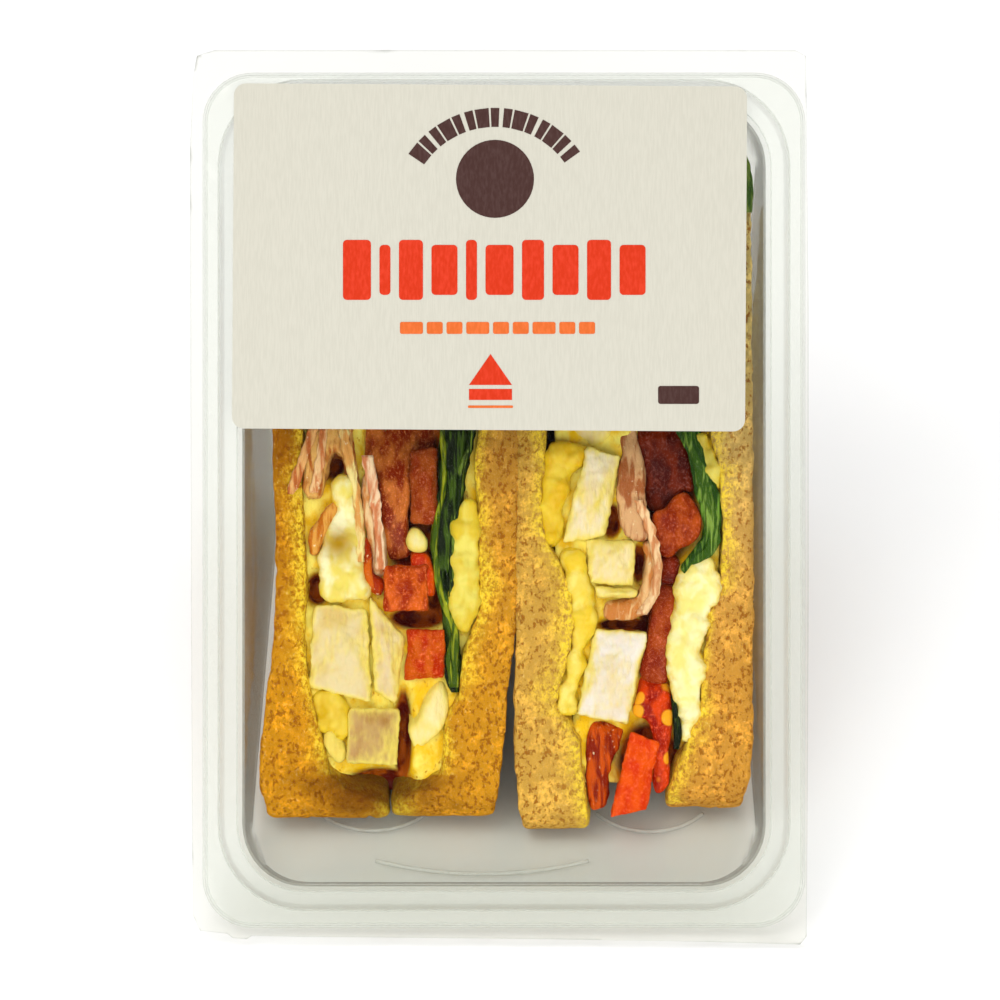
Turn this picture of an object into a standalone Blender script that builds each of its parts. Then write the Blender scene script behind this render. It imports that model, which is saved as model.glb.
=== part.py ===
"""A packed sandwich: two filled triangular halves in a clear wedge tray with a film lid and a label.

All shapes are drawn in the pack's own directions, in millimetres, and turned into the room at the end.
u runs to the right, v runs up the sloping front and w runs straight out of the front.
The pack stands on one leg of the wedge, so its front leans back by 45 degrees.
"""
import math

import bmesh
import bpy
from mathutils import Vector

MM = 0.001
SLOPE = math.sqrt(0.5)

# Driving dimensions of the tray
SHEET = 0.6
RIM_HALF_WIDTH = 60.3
RIM_TOP = 85.5
RIM_BOTTOM = -85.6
RIM_RADIUS = 10.0
RIM_DROP = 2.2
RIM_EDGE = 0.7
STEP_OUT = 4.8
STEP_LEAN = 0.8
STEP_DEPTH = 3.0
LEDGE_OUT = 1.3
LIP_DEPTH = 1.5
CAVITY_HALF_WIDTH = 52.0
CAVITY_TOP = 79.0
CAVITY_BOTTOM = -77.0
CAVITY_RADIUS = 12.0
COLLAR_DEPTH = 12.5
COLLAR_LEAN = 0.6
SIDE_DRAFT = math.tan(math.radians(3.4))
APEX_RADIUS = 8.0
DEEP_CORNER_RADIUS = 5.0
DEEP_CORNER_START = 7.0
CORNER_STEPS = 6

# Driving dimensions of the film lid and the label
FILM_THICKNESS = 0.3
FILM_GAP = 0.05
LABEL_THICKNESS = 0.25
LABEL_CENTRE = (-2.9, 48.5)
LABEL_SIZE = (102.6, 69.0)
LABEL_RADIUS = 2.4
LABEL_TURN = math.radians(-0.35)

# Driving dimensions of the two halves of sandwich
CUT_FACE_W = -13.0
FACE_BOTTOM = -75.0
FACE_TOP = 69.5
FACE_MIDDLE = (FACE_TOP + FACE_BOTTOM) / 2
CORNER_DEPTH = (FACE_TOP - FACE_BOTTOM) / 2
BACK_TAPER = 0.2
HALF_CENTRE = {"left": -22.2, "right": 26.4}
SLICE_THICKNESS = 14.0
BACK_CORNER_RADIUS = 7.0
TOP_TIP_RADIUS = 6.5
CRUST_ROUNDING = 2.2
EVEN_DEPTH = 44.0
HALFWAY_DEPTH = 18.0
FILLING_DEPTH = 36.0
CORE_START = 38.0
CORE_DEPTH = 27.0
FILLING_RIM = 0.5
LEAF_RIM = 0.22

# Each slice of bread: which half, how round its lower tip is, and its two sides.
# A side is a list of (height up the cut face, place to the right), read from the bottom up.
SLICES = {
    "bread_1_left": {
        "half": "left",
        "tip_radius": 7.5,
        "left": [(-64.4, -48.4), (-59.2, -49.6), (-50.4, -49.2), (-32.8, -47), (-15.2, -46),
            (14, -46.8), (54, -47.2)],
        "right": [(-65.2, -23.2), (-63, -24.8), (-60, -30.4), (-56.2, -35), (-44.6, -37.8),
            (-36, -39.6), (-28, -40.2), (-20, -40), (-15.2, -39.8), (0, -40.6), (14, -40.6), (54, -40.8)],
    },
    "bread_1_right": {
        "half": "left",
        "tip_radius": 7.8,
        "left": [(-65.2, -22.7), (-63, -22.2), (-60, -17.8), (-56.2, -12.6), (-46, -12), (-40, -9.2),
            (-32, -8.4), (-28, -6.8), (-22, -5), (-12, -5), (0, -5.2), (6, -6), (14, -5.2), (54, -5.2)],
        "right": [(-65.2, -1.4), (-58, -0.8), (-50, 0.2), (-40, 0.8), (-28, 2), (-12, 2.2), (14, 2.4),
            (54, 2.2)],
    },
    "bread_2_left": {
        "half": "right",
        "tip_radius": 5.9,
        "left": [(-66.8, 3.4), (-60, 2.6), (-50, 1.8), (-38.6, 1.8), (-28, 2.6), (-12, 3), (13.6, 3.2),
            (54, 3.4)],
        "right": [(-66.8, 17.2), (-62.2, 16.6), (-56, 16.2), (-49, 15.2), (-46, 13.6), (-42.4, 10.2),
            (-38, 11.2), (-32, 13.2), (-24, 14.2), (-18, 13.6), (-13, 11.2), (-8, 8.4), (0, 7.4),
            (6, 8.2), (13.6, 8.4), (54, 10.4)],
    },
    "bread_2_right": {
        "half": "right",
        "tip_radius": 9.0,
        "left": [(-63, 32.8), (-60, 33.6), (-57, 34.4), (-52, 36.2), (-48, 37.4), (-44, 39.2),
            (-40, 39.8), (-32, 40.4), (-23, 41.2), (-20, 43.6), (-12, 43.8), (-4, 44), (6, 43.6),
            (13.6, 41.6), (54, 41.6)],
        "right": [(-63, 48.8), (-58, 49.8), (-51, 50.2), (-28, 50.4), (-12, 50.4), (13.6, 50.4),
            (54, 50)],
    },
}

# Each piece of filling by the outline of its cut face, walked around its edge.
# A point is (millimetres right of the pack's centre, millimetres above it up the front).
# The first number in a name is the half it lies in: 1 on the left, 2 on the right.
LEFT_FILLING = {
    "chicken_1a": [
        (-26.8, -30), (-26.6, -35.8), (-28.2, -36.4), (-28.4, -40), (-30, -41.6), (-33.6, -40.8),
        (-38.4, -38.6), (-39.2, -30), (-39, -23.2), (-35.8, -20.8), (-31.8, -20), (-28.6, -20)],
    "chicken_1b": [
        (-24.2, -21.4), (-19.8, -28.4), (-20.2, -31.2), (-21.6, -35), (-21.8, -40), (-21.4, -42.2),
        (-23, -41.8), (-25.6, -38), (-26.5, -30), (-27.6, -23), (-27.4, -18.6)],
    "chicken_1c": [
        (-23.6, -42.4), (-21.2, -42.5), (-20.8, -47.6), (-21.2, -52), (-23, -54.2), (-25.6, -54.6),
        (-31.4, -52.8), (-32, -49), (-31.8, -45.2), (-31.2, -42.2), (-27.6, -41.4)],
    "chicken_1d": [
        (-34.2, -47.6), (-32.4, -50), (-32, -52), (-33.2, -53.6), (-35.2, -51.4), (-36.4, -49),
        (-35.6, -47)],
    "chicken_1e": [
        (-11.4, -40), (-11.4, -43.9), (-12.8, -47), (-18, -51.1), (-18.4, -49), (-19.2, -47.4),
        (-17.2, -45.6), (-15.2, -39.4), (-12.6, -37.2)],
    "tomato_1d": [
        (-18.8, -13.2), (-18.2, -18), (-15.6, -19.6), (-15.4, -21.4), (-16.8, -22.4), (-22.9, -22.8),
        (-24.5, -20.6), (-23.8, -13.4), (-21.2, -12.6)],
    "tomato_1e": [
        (-13, -25.8), (-11.6, -28), (-11.6, -33), (-12.6, -36), (-15.8, -36.8), (-20.4, -36.4),
        (-20.2, -32.2), (-18.6, -25.6)],
    "tomato_1c": [
        (-15.2, -11.2), (-14.4, -15), (-14, -19.6), (-15.4, -19.2), (-17.2, -18), (-18.2, -15),
        (-18.6, -11)],
    "chicken_1h": [
        (-15.6, -8.6), (-15.8, -10.4), (-19, -10.4), (-19.6, -8), (-18.6, -6), (-17.2, -6)],
    "tomato_1b": [
        (-12.8, 6), (-13.2, 0), (-14, -4.8), (-15, -7.4), (-16.6, -5.8), (-18.6, -4.8), (-19.4, -2.8),
        (-18.8, 0), (-18.8, 10), (-13.4, 10.6)],
    "lettuce_1a": [
        (-11.8, 54), (-12.1, 34), (-11.7, 4), (-12.5, -4.1), (-13.6, -9.6), (-13.1, -13.9),
        (-8.8, -30.3), (-9.3, -38), (-11.2, -38), (-11.3, -28), (-11.6, -24.5), (-14, -16.1),
        (-14.8, -9.6), (-12.9, 0), (-12.5, 6), (-12.7, 7.9), (-13.1, 34), (-12.6, 54)],
    "lettuce_1b": [
        (-6.3, 34), (-6, 13.8), (-7.8, 6.3), (-9.9, -9.1), (-10.1, -16), (-10.6, -19.6), (-11.3, -19.6),
        (-10.9, -9), (-9.7, -0.9), (-9, 6.5), (-7.2, 13.8), (-7.3, 34), (-8.8, 52), (-8, 52)],
    "bacon_1c": [
        (-24.9, -5.8), (-23.9, -10.8), (-24.3, -15.4), (-26.3, -15.4), (-26.5, -11.2), (-27.9, -6.2),
        (-28.6, -0.1), (-28.2, 6), (-26.2, 6)],
    "bacon_1a": [
        (-30.8, 15), (-29.6, 4.8), (-30.3, 0.6), (-31.6, 4.8), (-32.2, 9), (-34, 10.8), (-35.6, 9.6),
        (-36.6, 1), (-40.3, 0.7), (-40.3, 9.8), (-39.6, 13.8), (-39.2, 34), (-30.4, 34)],
    "bacon_1b": [
        (-33.2, -1.1), (-37.1, -8.4), (-37.5, -11.3), (-39.3, -11.1), (-39.3, -7.6), (-34.8, -0.1)],
    "bacon_1d": [
        (-27.7, -8.1), (-26.8, -11.2), (-26.6, -15.6), (-24.8, -16.4), (-24.6, -18), (-24.9, -19.6),
        (-27.6, -17.6), (-28.6, -14), (-28.4, -7.5)],
    "tomato_1a": [
        (-13.4, 10.9), (-19, 10.4), (-19.1, 0), (-19.8, -2.4), (-19.4, -6.8), (-19.9, -7.9),
        (-19.3, -10.5), (-19.4, -11.6), (-21.8, -12.4), (-23.6, -12), (-23.6, -10.9), (-24.8, -3.6),
        (-25, 4), (-25.8, 7.6), (-28.8, 9), (-29.2, 34), (-13.6, 34)],
    "dressing_1a": [
        (-31.7, 3.9), (-30.8, 0.4), (-30.2, 0.3), (-29.7, 0.8), (-29.4, 0), (-29.4, -4), (-28.6, -7.2),
        (-29, -14), (-28, -18), (-28.5, -19.7), (-31.9, -19.7), (-34.9, -20.3), (-36.2, -17),
        (-36.6, -12), (-36.2, -9), (-35.2, -5.5), (-32.9, -0.9), (-34.2, -0.1), (-33.4, 4.4)],
    "dressing_1b": [
        (-5.6, -1), (-5.3, -22), (-7.7, -26.6), (-9.2, -24.4), (-10.4, -21.6), (-9.8, -16.1),
        (-9.6, -9.1), (-8, 0)],
    "dressing_1c": [
        (-31.8, -41.8), (-32.4, -48.7), (-34, -47), (-36.4, -46.6), (-36.5, -47.5), (-38.6, -39.3)],
    "chicken_1f": [
        (-26.4, 35.6), (-39.6, 35.6), (-39.6, 52), (-26.4, 52)],
    "tomato_1f": [
        (-14, 35.6), (-25.2, 35.6), (-25.2, 52.8), (-14, 52.8)],
}
RIGHT_FILLING = {
    "chicken_2a": [
        (23.2, 7.4), (22.8, 4), (21.2, 0), (21, -4), (20, -7), (18.4, -7.4), (16, -9), (12.4, -10),
        (11.2, -7), (12.2, 4), (15.2, 7.6), (19.2, 9.6), (21.6, 9.6)],
    "chicken_2b": [
        (26.6, -8.4), (26.6, -15.8), (23.2, -16.2), (18.2, -16), (16.2, -14), (16, -10.4), (16.5, -9.1),
        (18.2, -8), (23.6, -7.6)],
    "chicken_2c": [
        (26.8, -17), (27.6, -18.4), (26.6, -19.8), (23.2, -20), (19.2, -19.2), (17.6, -18.4),
        (18.2, -16.8), (23.2, -16.6)],
    "chicken_2d": [
        (23.2, -26), (29.2, -26.8), (29.2, -28.6), (27.8, -32), (27.2, -35.6), (25.6, -38.6),
        (25, -42.4), (24.2, -45.2), (21.6, -46.2), (21, -47.6), (18.8, -46.6), (17.6, -45),
        (14.6, -43.6), (14.6, -40), (15.6, -36), (16, -31), (17, -28), (18.8, -25.8)],
    "bacon_2a": [
        (26.6, 13.8), (27.8, 8), (28.4, 2), (28.2, -3), (29.4, -6.6), (28.2, -8), (26.4, -8),
        (24, -6.8), (23, 2), (23.5, 7.3), (24.6, 10), (22.8, 13.8), (22.4, 34), (26, 34)],
    "bacon_2b": [
        (31.5, -12.3), (31.2, -17.9), (29.3, -22.6), (25, -24.5), (20.3, -24.1), (20.5, -21.1),
        (24.6, -21.1), (27.1, -20.5), (28.4, -17.3), (28.9, -12.5), (28, -8.9), (30, -8.3)],
    "tomato_2b": [
        (38.4, -0.6), (39.8, -3.6), (39.4, -7), (37.2, -9), (35.2, -9.6), (34, -11.4), (32, -11.4),
        (30.2, -6.4), (30.4, -2.6), (32.8, -2.2), (34.8, 0.8), (36.8, 1.6)],
    "tomato_2a": [
        (35.6, 13.8), (37.2, 10), (38.4, 4.4), (38, 1.8), (36, 2.6), (35.3, 1.4), (34.6, 1.1),
        (32.8, -1.6), (30, -2.2), (28.8, 0), (28.1, 8), (27.2, 12.6), (26.8, 34), (35.2, 34)],
    "tomato_2f": [
        (35.6, -14.4), (35.2, -17.2), (31.6, -17.2), (31.8, -12), (34.8, -12)],
    "tomato_2c": [
        (35, -18), (34.8, -22), (33.6, -27), (32.8, -32), (33, -36.8), (31.2, -37.6), (27.6, -36.2),
        (28.1, -32.1), (29.5, -28.6), (29.5, -26.7), (30.6, -20.3), (31.5, -17.6)],
    "tomato_2d": [
        (30.2, -49), (29.8, -60), (28.2, -62.2), (24.8, -63.6), (21.8, -63.4), (21.2, -59), (22, -55),
        (25.2, -47.6), (26, -44.8), (28.8, -44.6)],
    "tomato_2e": [
        (33.8, -42), (33.6, -47), (32.8, -52), (33.4, -57), (32.2, -59.2), (30.4, -59.8), (30.6, -49),
        (29.2, -44.2), (26, -43.8), (27.2, -40), (28.2, -38), (30.8, -38.2), (32.8, -38)],
    "bacon_2c": [
        (24.5, -46.3), (23.2, -51), (21.4, -54.4), (20.6, -59), (21, -63.4), (19.8, -64.4),
        (17.4, -64.4), (16.4, -54), (17.4, -47), (18.8, -47.2), (21.6, -48.2)],
    "lettuce_2a": [
        (37.6, 13.9), (41.7, 3.4), (43.3, -2.8), (43.5, -8.2), (41.6, -11.4), (38.6, -13.1),
        (36.9, -15), (35.9, -14.2), (37.4, -11.7), (40, -9.9), (40.9, -7.8), (40.7, -3.2), (38.7, 4.1),
        (37.5, 10.1), (36, 13.7), (35.5, 50), (36.5, 50)],
    "lettuce_2b": [
        (35.1, -40.8), (35.4, -45.6), (35.3, -50.4), (34.1, -50.4), (33.8, -47.8), (34.1, -40.8)],
    "dressing_2c": [
        (41.6, -12.8), (43.4, -15.9), (43, -20), (40.9, -22.8), (40.6, -26.1), (39.2, -30),
        (39.8, -35.8), (39, -42.9), (36.5, -49.9), (36, -42.4), (34, -38), (33.2, -34.2), (33.1, -32),
        (33.9, -27.1), (35.1, -22), (35.3, -19.8), (36, -16.4), (36.7, -15.3), (38.8, -13.3),
        (40, -12.7)],
    "dressing_2b": [
        (42.2, 9), (43.4, 3.6), (43.2, 2.3), (41.9, 4), (39.7, 9.4), (38.8, 13), (40.8, 13.6)],
    "dressing_2a": [
        (18.2, 9.9), (14.2, 7.4), (11.8, 4), (10.8, -8), (9.5, -9.3), (8.7, -7.9), (7.8, 0), (9, 11),
        (14.2, 11.8)],
    "dressing_2d": [
        (15.9, -14.1), (16.3, -14.6), (18, -24.4), (15.7, -30.9), (15.4, -33.8), (14.3, -39.9),
        (14.2, -43.2), (11.2, -42.4), (11.8, -38.8), (13.4, -36), (14.4, -28), (14.5, -24), (13.9, -18),
        (11.8, -11.2), (15.7, -11.2)],
    "chicken_2e": [
        (21.6, 14), (18.8, 11.2), (14.4, 12.4), (9.6, 12.4), (11.2, 52), (21.6, 52)],
    "tomato_2g": [
        (34.8, 35.6), (22.8, 35.6), (22.8, 52), (34.8, 52)],
}

# Layers that fill the middle of each half behind the pieces at the cut: their left and right sides
CORE_BOTTOM = -38.0
CORE_TOP = 46.0
LEFT_CORE = {
    "chicken_1g": (-35.5, -25.0),
    "tomato_1g": (-24.0, -12.5),
}
RIGHT_CORE = {
    "chicken_2f": (18.0, 27.0),
    "tomato_2h": (28.0, 33.0),
}

# How far some pieces lie behind the knife's cut
RECESS = {
    "tomato_1a": 2.5,
    "tomato_2a": 2.0,
    "tomato_2f": 1.5,
    "bacon_2c": 2.0,
    "dressing_1c": 0.8,
    "dressing_2a": 0.6,
    "chicken_1b": 1.0,
    "lettuce_1a": 0.2,
    "lettuce_2a": 0.2,
}

# Colour, roughness and metallic of each material
MATERIALS = {
    "clear_tray": ((0.86, 0.89, 0.9), 0.08),
    "clear_film": ((0.9, 0.92, 0.93), 0.1),
    "label_paper": ((0.83, 0.82, 0.76), 0.75),
    "bread_crumb": ((0.78, 0.56, 0.22), 0.9),
    "chicken": ((0.88, 0.77, 0.58), 0.5),
    "bacon": ((0.71, 0.4, 0.24), 0.4),
    "tomato": ((0.62, 0.13, 0.04), 0.25),
    "lettuce": ((0.13, 0.26, 0.05), 0.4),
    "dressing": ((0.9, 0.82, 0.4), 0.35),
}
MATERIAL_OF = {"tray": "clear_tray", "film": "clear_film", "label": "label_paper", "bread": "bread_crumb"}


def clear_scene():
    """Remove whatever the new scene came with."""
    for obj in list(bpy.data.objects):
        bpy.data.objects.remove(obj, do_unlink=True)


def make_material(name):
    """A plain shaded material with its own colour and roughness."""
    colour, roughness = MATERIALS[name]
    material = bpy.data.materials.new(name)
    material.use_nodes = True
    shader = material.node_tree.nodes["Principled BSDF"]
    shader.inputs["Base Color"].default_value = (*colour, 1.0)
    shader.inputs["Roughness"].default_value = roughness
    shader.inputs["Metallic"].default_value = 0.0
    return material


def to_room(point):
    """Turn a point of the pack's own directions into the room, still in millimetres."""
    u, v, w = point
    return Vector((u, (v - w) * SLOPE, (v + w) * SLOPE))


def face_outwards(bm):
    """Make every face of a closed shape look outwards."""
    bmesh.ops.recalc_face_normals(bm, faces=bm.faces)
    if bm.calc_volume(signed=True) < 0:
        bmesh.ops.reverse_faces(bm, faces=bm.faces)


def finish_part(name, bm, collection):
    """Turn the drawn shape into the room and keep it as one named object."""
    for vert in bm.verts:
        vert.co = to_room(vert.co) * MM
    mesh = bpy.data.meshes.new(name)
    bm.to_mesh(mesh)
    bm.free()
    kind = name.split("_")[0]
    mesh.materials.append(make_material(MATERIAL_OF.get(kind, kind)))
    mesh.materials[0].name = name + "_" + MATERIAL_OF.get(kind, kind)
    obj = bpy.data.objects.new(name, mesh)
    collection.objects.link(obj)
    return obj


def arc(centre, radius, start, end, steps):
    """Points on an arc, angles in degrees."""
    points = []
    for step in range(steps + 1):
        angle = math.radians(start + (end - start) * step / steps)
        points.append((centre[0] + radius * math.cos(angle), centre[1] + radius * math.sin(angle)))
    return points


def rounded_rectangle(half_width, low, high, radius):
    """The outline of one section through the tray, seen from the front."""
    radius = min(radius, (high - low) / 2 - 0.01, half_width)
    points = []
    corners = ((1, high, 0), (-1, high, 90), (-1, low, 180), (1, low, 270))
    for side, height, start in corners:
        inward = -1 if height == high else 1
        centre = (side * (half_width - radius), height + inward * radius)
        points += arc(centre, radius, start, start + 90, CORNER_STEPS)
    return points


def tray_sections():
    """Sections of the tray's food side, from the rim's lower edge down to the back of the wedge."""
    sections = [
        (-RIM_DROP, RIM_HALF_WIDTH, RIM_BOTTOM, RIM_TOP, RIM_RADIUS),
        (-RIM_EDGE, RIM_HALF_WIDTH, RIM_BOTTOM, RIM_TOP, RIM_RADIUS),
        (0.0, RIM_HALF_WIDTH - RIM_EDGE, RIM_BOTTOM + RIM_EDGE, RIM_TOP - RIM_EDGE, RIM_RADIUS - RIM_EDGE),
    ]
    steps_in = (
        (0.0, STEP_OUT),
        (-STEP_DEPTH, STEP_OUT - STEP_LEAN),
        (-STEP_DEPTH, LEDGE_OUT),
        (-STEP_DEPTH - LIP_DEPTH, 0.0),
        (-COLLAR_DEPTH, -COLLAR_LEAN),
    )
    for w, out in steps_in:
        lean = max(out, 0.0)
        half_width = CAVITY_HALF_WIDTH + out
        sections.append((w, half_width, CAVITY_BOTTOM - lean, CAVITY_TOP + lean, CAVITY_RADIUS + lean))
    sharp_depth = (CAVITY_TOP - CAVITY_BOTTOM) / 2
    centre_depth = sharp_depth - APEX_RADIUS / SLOPE
    middle = (CAVITY_TOP + CAVITY_BOTTOM) / 2
    straight_end = centre_depth + APEX_RADIUS * SLOPE
    depths = [DEEP_CORNER_START, straight_end / 3, straight_end * 2 / 3, straight_end]
    steps = [(depth, sharp_depth - depth) for depth in depths]
    for angle in (58, 71, 84):
        turn = math.radians(angle)
        steps.append((centre_depth + APEX_RADIUS * math.sin(turn), APEX_RADIUS * math.cos(turn)))
    for depth, half_height in steps:
        half_width = CAVITY_HALF_WIDTH - COLLAR_LEAN - depth * SIDE_DRAFT
        low = middle - half_height
        high = middle + half_height
        sections.append((-COLLAR_DEPTH - depth, half_width, low, high, DEEP_CORNER_RADIUS))
    return sections


def make_tray(collection):
    """The thermoformed tray: one sheet drawn through its sections, then given its thickness."""
    bm = bmesh.new()
    loops = []
    for w, half_width, low, high, radius in tray_sections():
        outline = rounded_rectangle(half_width, low, high, radius)
        loops.append([bm.verts.new((u, v, w)) for u, v in outline])
    for upper, lower in zip(loops, loops[1:]):
        for index in range(len(upper)):
            after = (index + 1) % len(upper)
            bm.faces.new((upper[index], upper[after], lower[after], lower[index]))
    bm.faces.new(loops[-1])
    tray = finish_part("tray", bm, collection)
    solid = tray.modifiers.new("sheet", "SOLIDIFY")
    solid.thickness = SHEET * MM
    solid.offset = -1.0
    solid.use_even_offset = True
    return tray


def prism(outline, low, high):
    """A flat solid between two heights out of the front."""
    bm = bmesh.new()
    base = bm.faces.new([bm.verts.new((u, v, low)) for u, v in outline])
    grown = bmesh.ops.extrude_face_region(bm, geom=[base])
    moved = [item for item in grown["geom"] if isinstance(item, bmesh.types.BMVert)]
    bmesh.ops.translate(bm, verts=moved, vec=(0, 0, high - low))
    face_outwards(bm)
    return bm


def film_outline():
    """The film's torn and clipped edge, walked from the upper left corner."""
    return [(-62.2, 84.4), (-61.4, 88.8), (-57.8, 90.0), (-24.8, 90.0), (19.2, 90.0), (58.2, 90.0),
            (60.4, 88.8), (60.9, 40.0), (60.9, -20.0), (60.7, -60.0), (60.5, -87.2), (59.2, -88.9),
            (39.2, -88.3), (-0.8, -87.7), (-40.8, -87.3), (-50.4, -87.1), (-51.2, -88.2), (-54.0, -88.2),
            (-54.8, -86.9), (-60.8, -86.1), (-62.2, -83.1), (-62.5, -40.0), (-62.7, 20.0), (-62.8, 70.0)]


def make_film(collection):
    """The film lid, flat over the tray's rim."""
    return finish_part("film_lid", prism(film_outline(), FILM_GAP, FILM_GAP + FILM_THICKNESS), collection)


def make_label(collection):
    """The paper label, stuck to the film a little out of true."""
    half_width = LABEL_SIZE[0] / 2
    half_height = LABEL_SIZE[1] / 2
    outline = []
    for u, v in rounded_rectangle(half_width, -half_height, half_height, LABEL_RADIUS):
        turned_u = u * math.cos(LABEL_TURN) - v * math.sin(LABEL_TURN)
        turned_v = u * math.sin(LABEL_TURN) + v * math.cos(LABEL_TURN)
        outline.append((turned_u + LABEL_CENTRE[0], turned_v + LABEL_CENTRE[1]))
    low = FILM_GAP * 2 + FILM_THICKNESS
    return finish_part("label", prism(outline, low, low + LABEL_THICKNESS), collection)


def slice_outline(tip_radius):
    """A cut slice seen from the side, as (height up the cut face, depth behind it), corners rounded."""
    points = []
    reach = tip_radius * (1 + 1 / SLOPE)
    points += arc((FACE_BOTTOM + reach, tip_radius), tip_radius, 270, 135, CORNER_STEPS)
    back = BACK_CORNER_RADIUS
    points += arc((FACE_MIDDLE, CORNER_DEPTH - back / SLOPE), back, 135, 45, CORNER_STEPS - 1)
    reach = TOP_TIP_RADIUS * (1 + 1 / SLOPE)
    points += arc((FACE_TOP - reach, TOP_TIP_RADIUS), TOP_TIP_RADIUS, 45, -90, CORNER_STEPS)
    return points


def height_on_face(v, depth):
    """Where a point inside the half came from on the cut face: all layers draw in towards the corner."""
    share = 1 - min(depth, EVEN_DEPTH) / CORNER_DEPTH
    height = FACE_MIDDLE + (v - FACE_MIDDLE) / share
    return min(max(height, FACE_BOTTOM), FACE_TOP)


def side_at(stations, height):
    """The place of a slice's side at a height up the cut face."""
    if height <= stations[0][0]:
        return stations[0][1]
    for (low, start), (high, end) in zip(stations, stations[1:]):
        if height <= high:
            return start + (end - start) * (height - low) / (high - low)
    return stations[-1][1]


def draw_in(u, half, depth):
    """Narrow the half towards its crust corner."""
    centre = HALF_CENTRE[half]
    return centre + (u - centre) * (1 - BACK_TAPER * depth / CORNER_DEPTH)


def cut(bm, faces, point, normal):
    """Split the given faces along a plane."""
    edges = {edge for face in faces for edge in face.edges}
    verts = {vert for face in faces for vert in face.verts}
    geometry = list(verts) + list(edges) + list(faces)
    bmesh.ops.bisect_plane(bm, geom=geometry, dist=0.0001, plane_co=point, plane_no=normal)


def make_slice(name, data, collection):
    """One slice of bread: a rounded triangle with soft crust edges and uneven sides."""
    bm = bmesh.new()
    base = bm.faces.new([bm.verts.new((0, v, -depth)) for v, depth in slice_outline(data["tip_radius"])])
    grown = bmesh.ops.extrude_face_region(bm, geom=[base])
    moved = [item for item in grown["geom"] if isinstance(item, bmesh.types.BMVert)]
    bmesh.ops.translate(bm, verts=moved, vec=(SLICE_THICKNESS, 0, 0))
    rim = []
    for edge in bm.edges:
        level = edge.verts[0].co.x == edge.verts[1].co.x
        behind = min(-vert.co.z for vert in edge.verts) > 0.5
        if level and behind:
            rim.append(edge)
    bmesh.ops.bevel(bm, geom=rim, offset=CRUST_ROUNDING, segments=2, profile=0.5, affect="EDGES",
                    clamp_overlap=True)
    cut(bm, list(bm.faces), (0, 0, -EVEN_DEPTH), (0, 0, 1))
    front = [face for face in bm.faces if -face.calc_center_median().z < EVEN_DEPTH]
    heights = sorted({height for height, _ in data["left"] + data["right"]})
    for height in heights:
        line = Vector((0, FACE_MIDDLE - height, -CORNER_DEPTH))
        normal = line.cross(Vector((1, 0, 0)))
        front = [face for face in bm.faces if -face.calc_center_median().z < EVEN_DEPTH]
        cut(bm, front, (0, height, 0), normal)
    cut(bm, list(bm.faces), (0, 0, -HALFWAY_DEPTH), (0, 0, 1))
    for vert in bm.verts:
        depth = -vert.co.z
        height = height_on_face(vert.co.y, depth)
        left = side_at(data["left"], height)
        right = side_at(data["right"], height)
        u = left + (right - left) * vert.co.x / SLICE_THICKNESS
        vert.co = (draw_in(u, data["half"], depth), vert.co.y, CUT_FACE_W - depth)
    face_outwards(bm)
    return finish_part(name, bm, collection)


def soften(outline):
    """Take the points off the corners of an outline."""
    points = []
    for index, (u, v) in enumerate(outline):
        next_u, next_v = outline[(index + 1) % len(outline)]
        for share in (0.2, 0.8):
            points.append((u + (next_u - u) * share, v + (next_v - v) * share))
    return points


def make_filling(name, outline, half, start, length, rim, collection):
    """One piece of filling, cut flat at the front and running back towards the crust corner."""
    bm = bmesh.new()
    cut_face = bm.faces.new([bm.verts.new((u, v, -start - rim)) for u, v in outline])
    grown = bmesh.ops.extrude_face_region(bm, geom=[cut_face])
    moved = [item for item in grown["geom"] if isinstance(item, bmesh.types.BMVert)]
    bmesh.ops.translate(bm, verts=moved, vec=(0, 0, rim - length))
    front = [face for face in bm.faces if all(vert.co.z > -start - rim - 0.01 for vert in face.verts)]
    inset = bmesh.ops.inset_region(bm, faces=front, thickness=rim, use_even_offset=False)
    shelf = {vert for face in inset["faces"] for vert in face.verts}
    raised = {vert for face in front for vert in face.verts}
    for vert in raised & shelf:
        vert.co.z = -start
    cut(bm, list(bm.faces), (0, 0, -start - length / 2), (0, 0, 1))
    for vert in bm.verts:
        depth = -vert.co.z
        share = 1 - depth / CORNER_DEPTH
        v = FACE_MIDDLE + (vert.co.y - FACE_MIDDLE) * share
        vert.co = (draw_in(vert.co.x, half, depth), v, CUT_FACE_W - depth)
    face_outwards(bm)
    return finish_part(name, bm, collection)


def make_half(half, slices, pieces, core, collection):
    """Both slices of one half and everything between them."""
    for name in slices:
        make_slice(name, SLICES[name], collection)
    for name, outline in pieces.items():
        leaf = name.startswith("lettuce")
        rim = LEAF_RIM if leaf else FILLING_RIM
        recess = RECESS.get(name, 0.0)
        shape = outline if leaf else soften(outline)
        make_filling(name, shape, half, recess, FILLING_DEPTH - recess, rim, collection)
    for name, (left, right) in core.items():
        outline = [(left, CORE_BOTTOM), (right, CORE_BOTTOM), (right, CORE_TOP), (left, CORE_TOP)]
        make_filling(name, outline, half, CORE_START, CORE_DEPTH, FILLING_RIM, collection)


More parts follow.
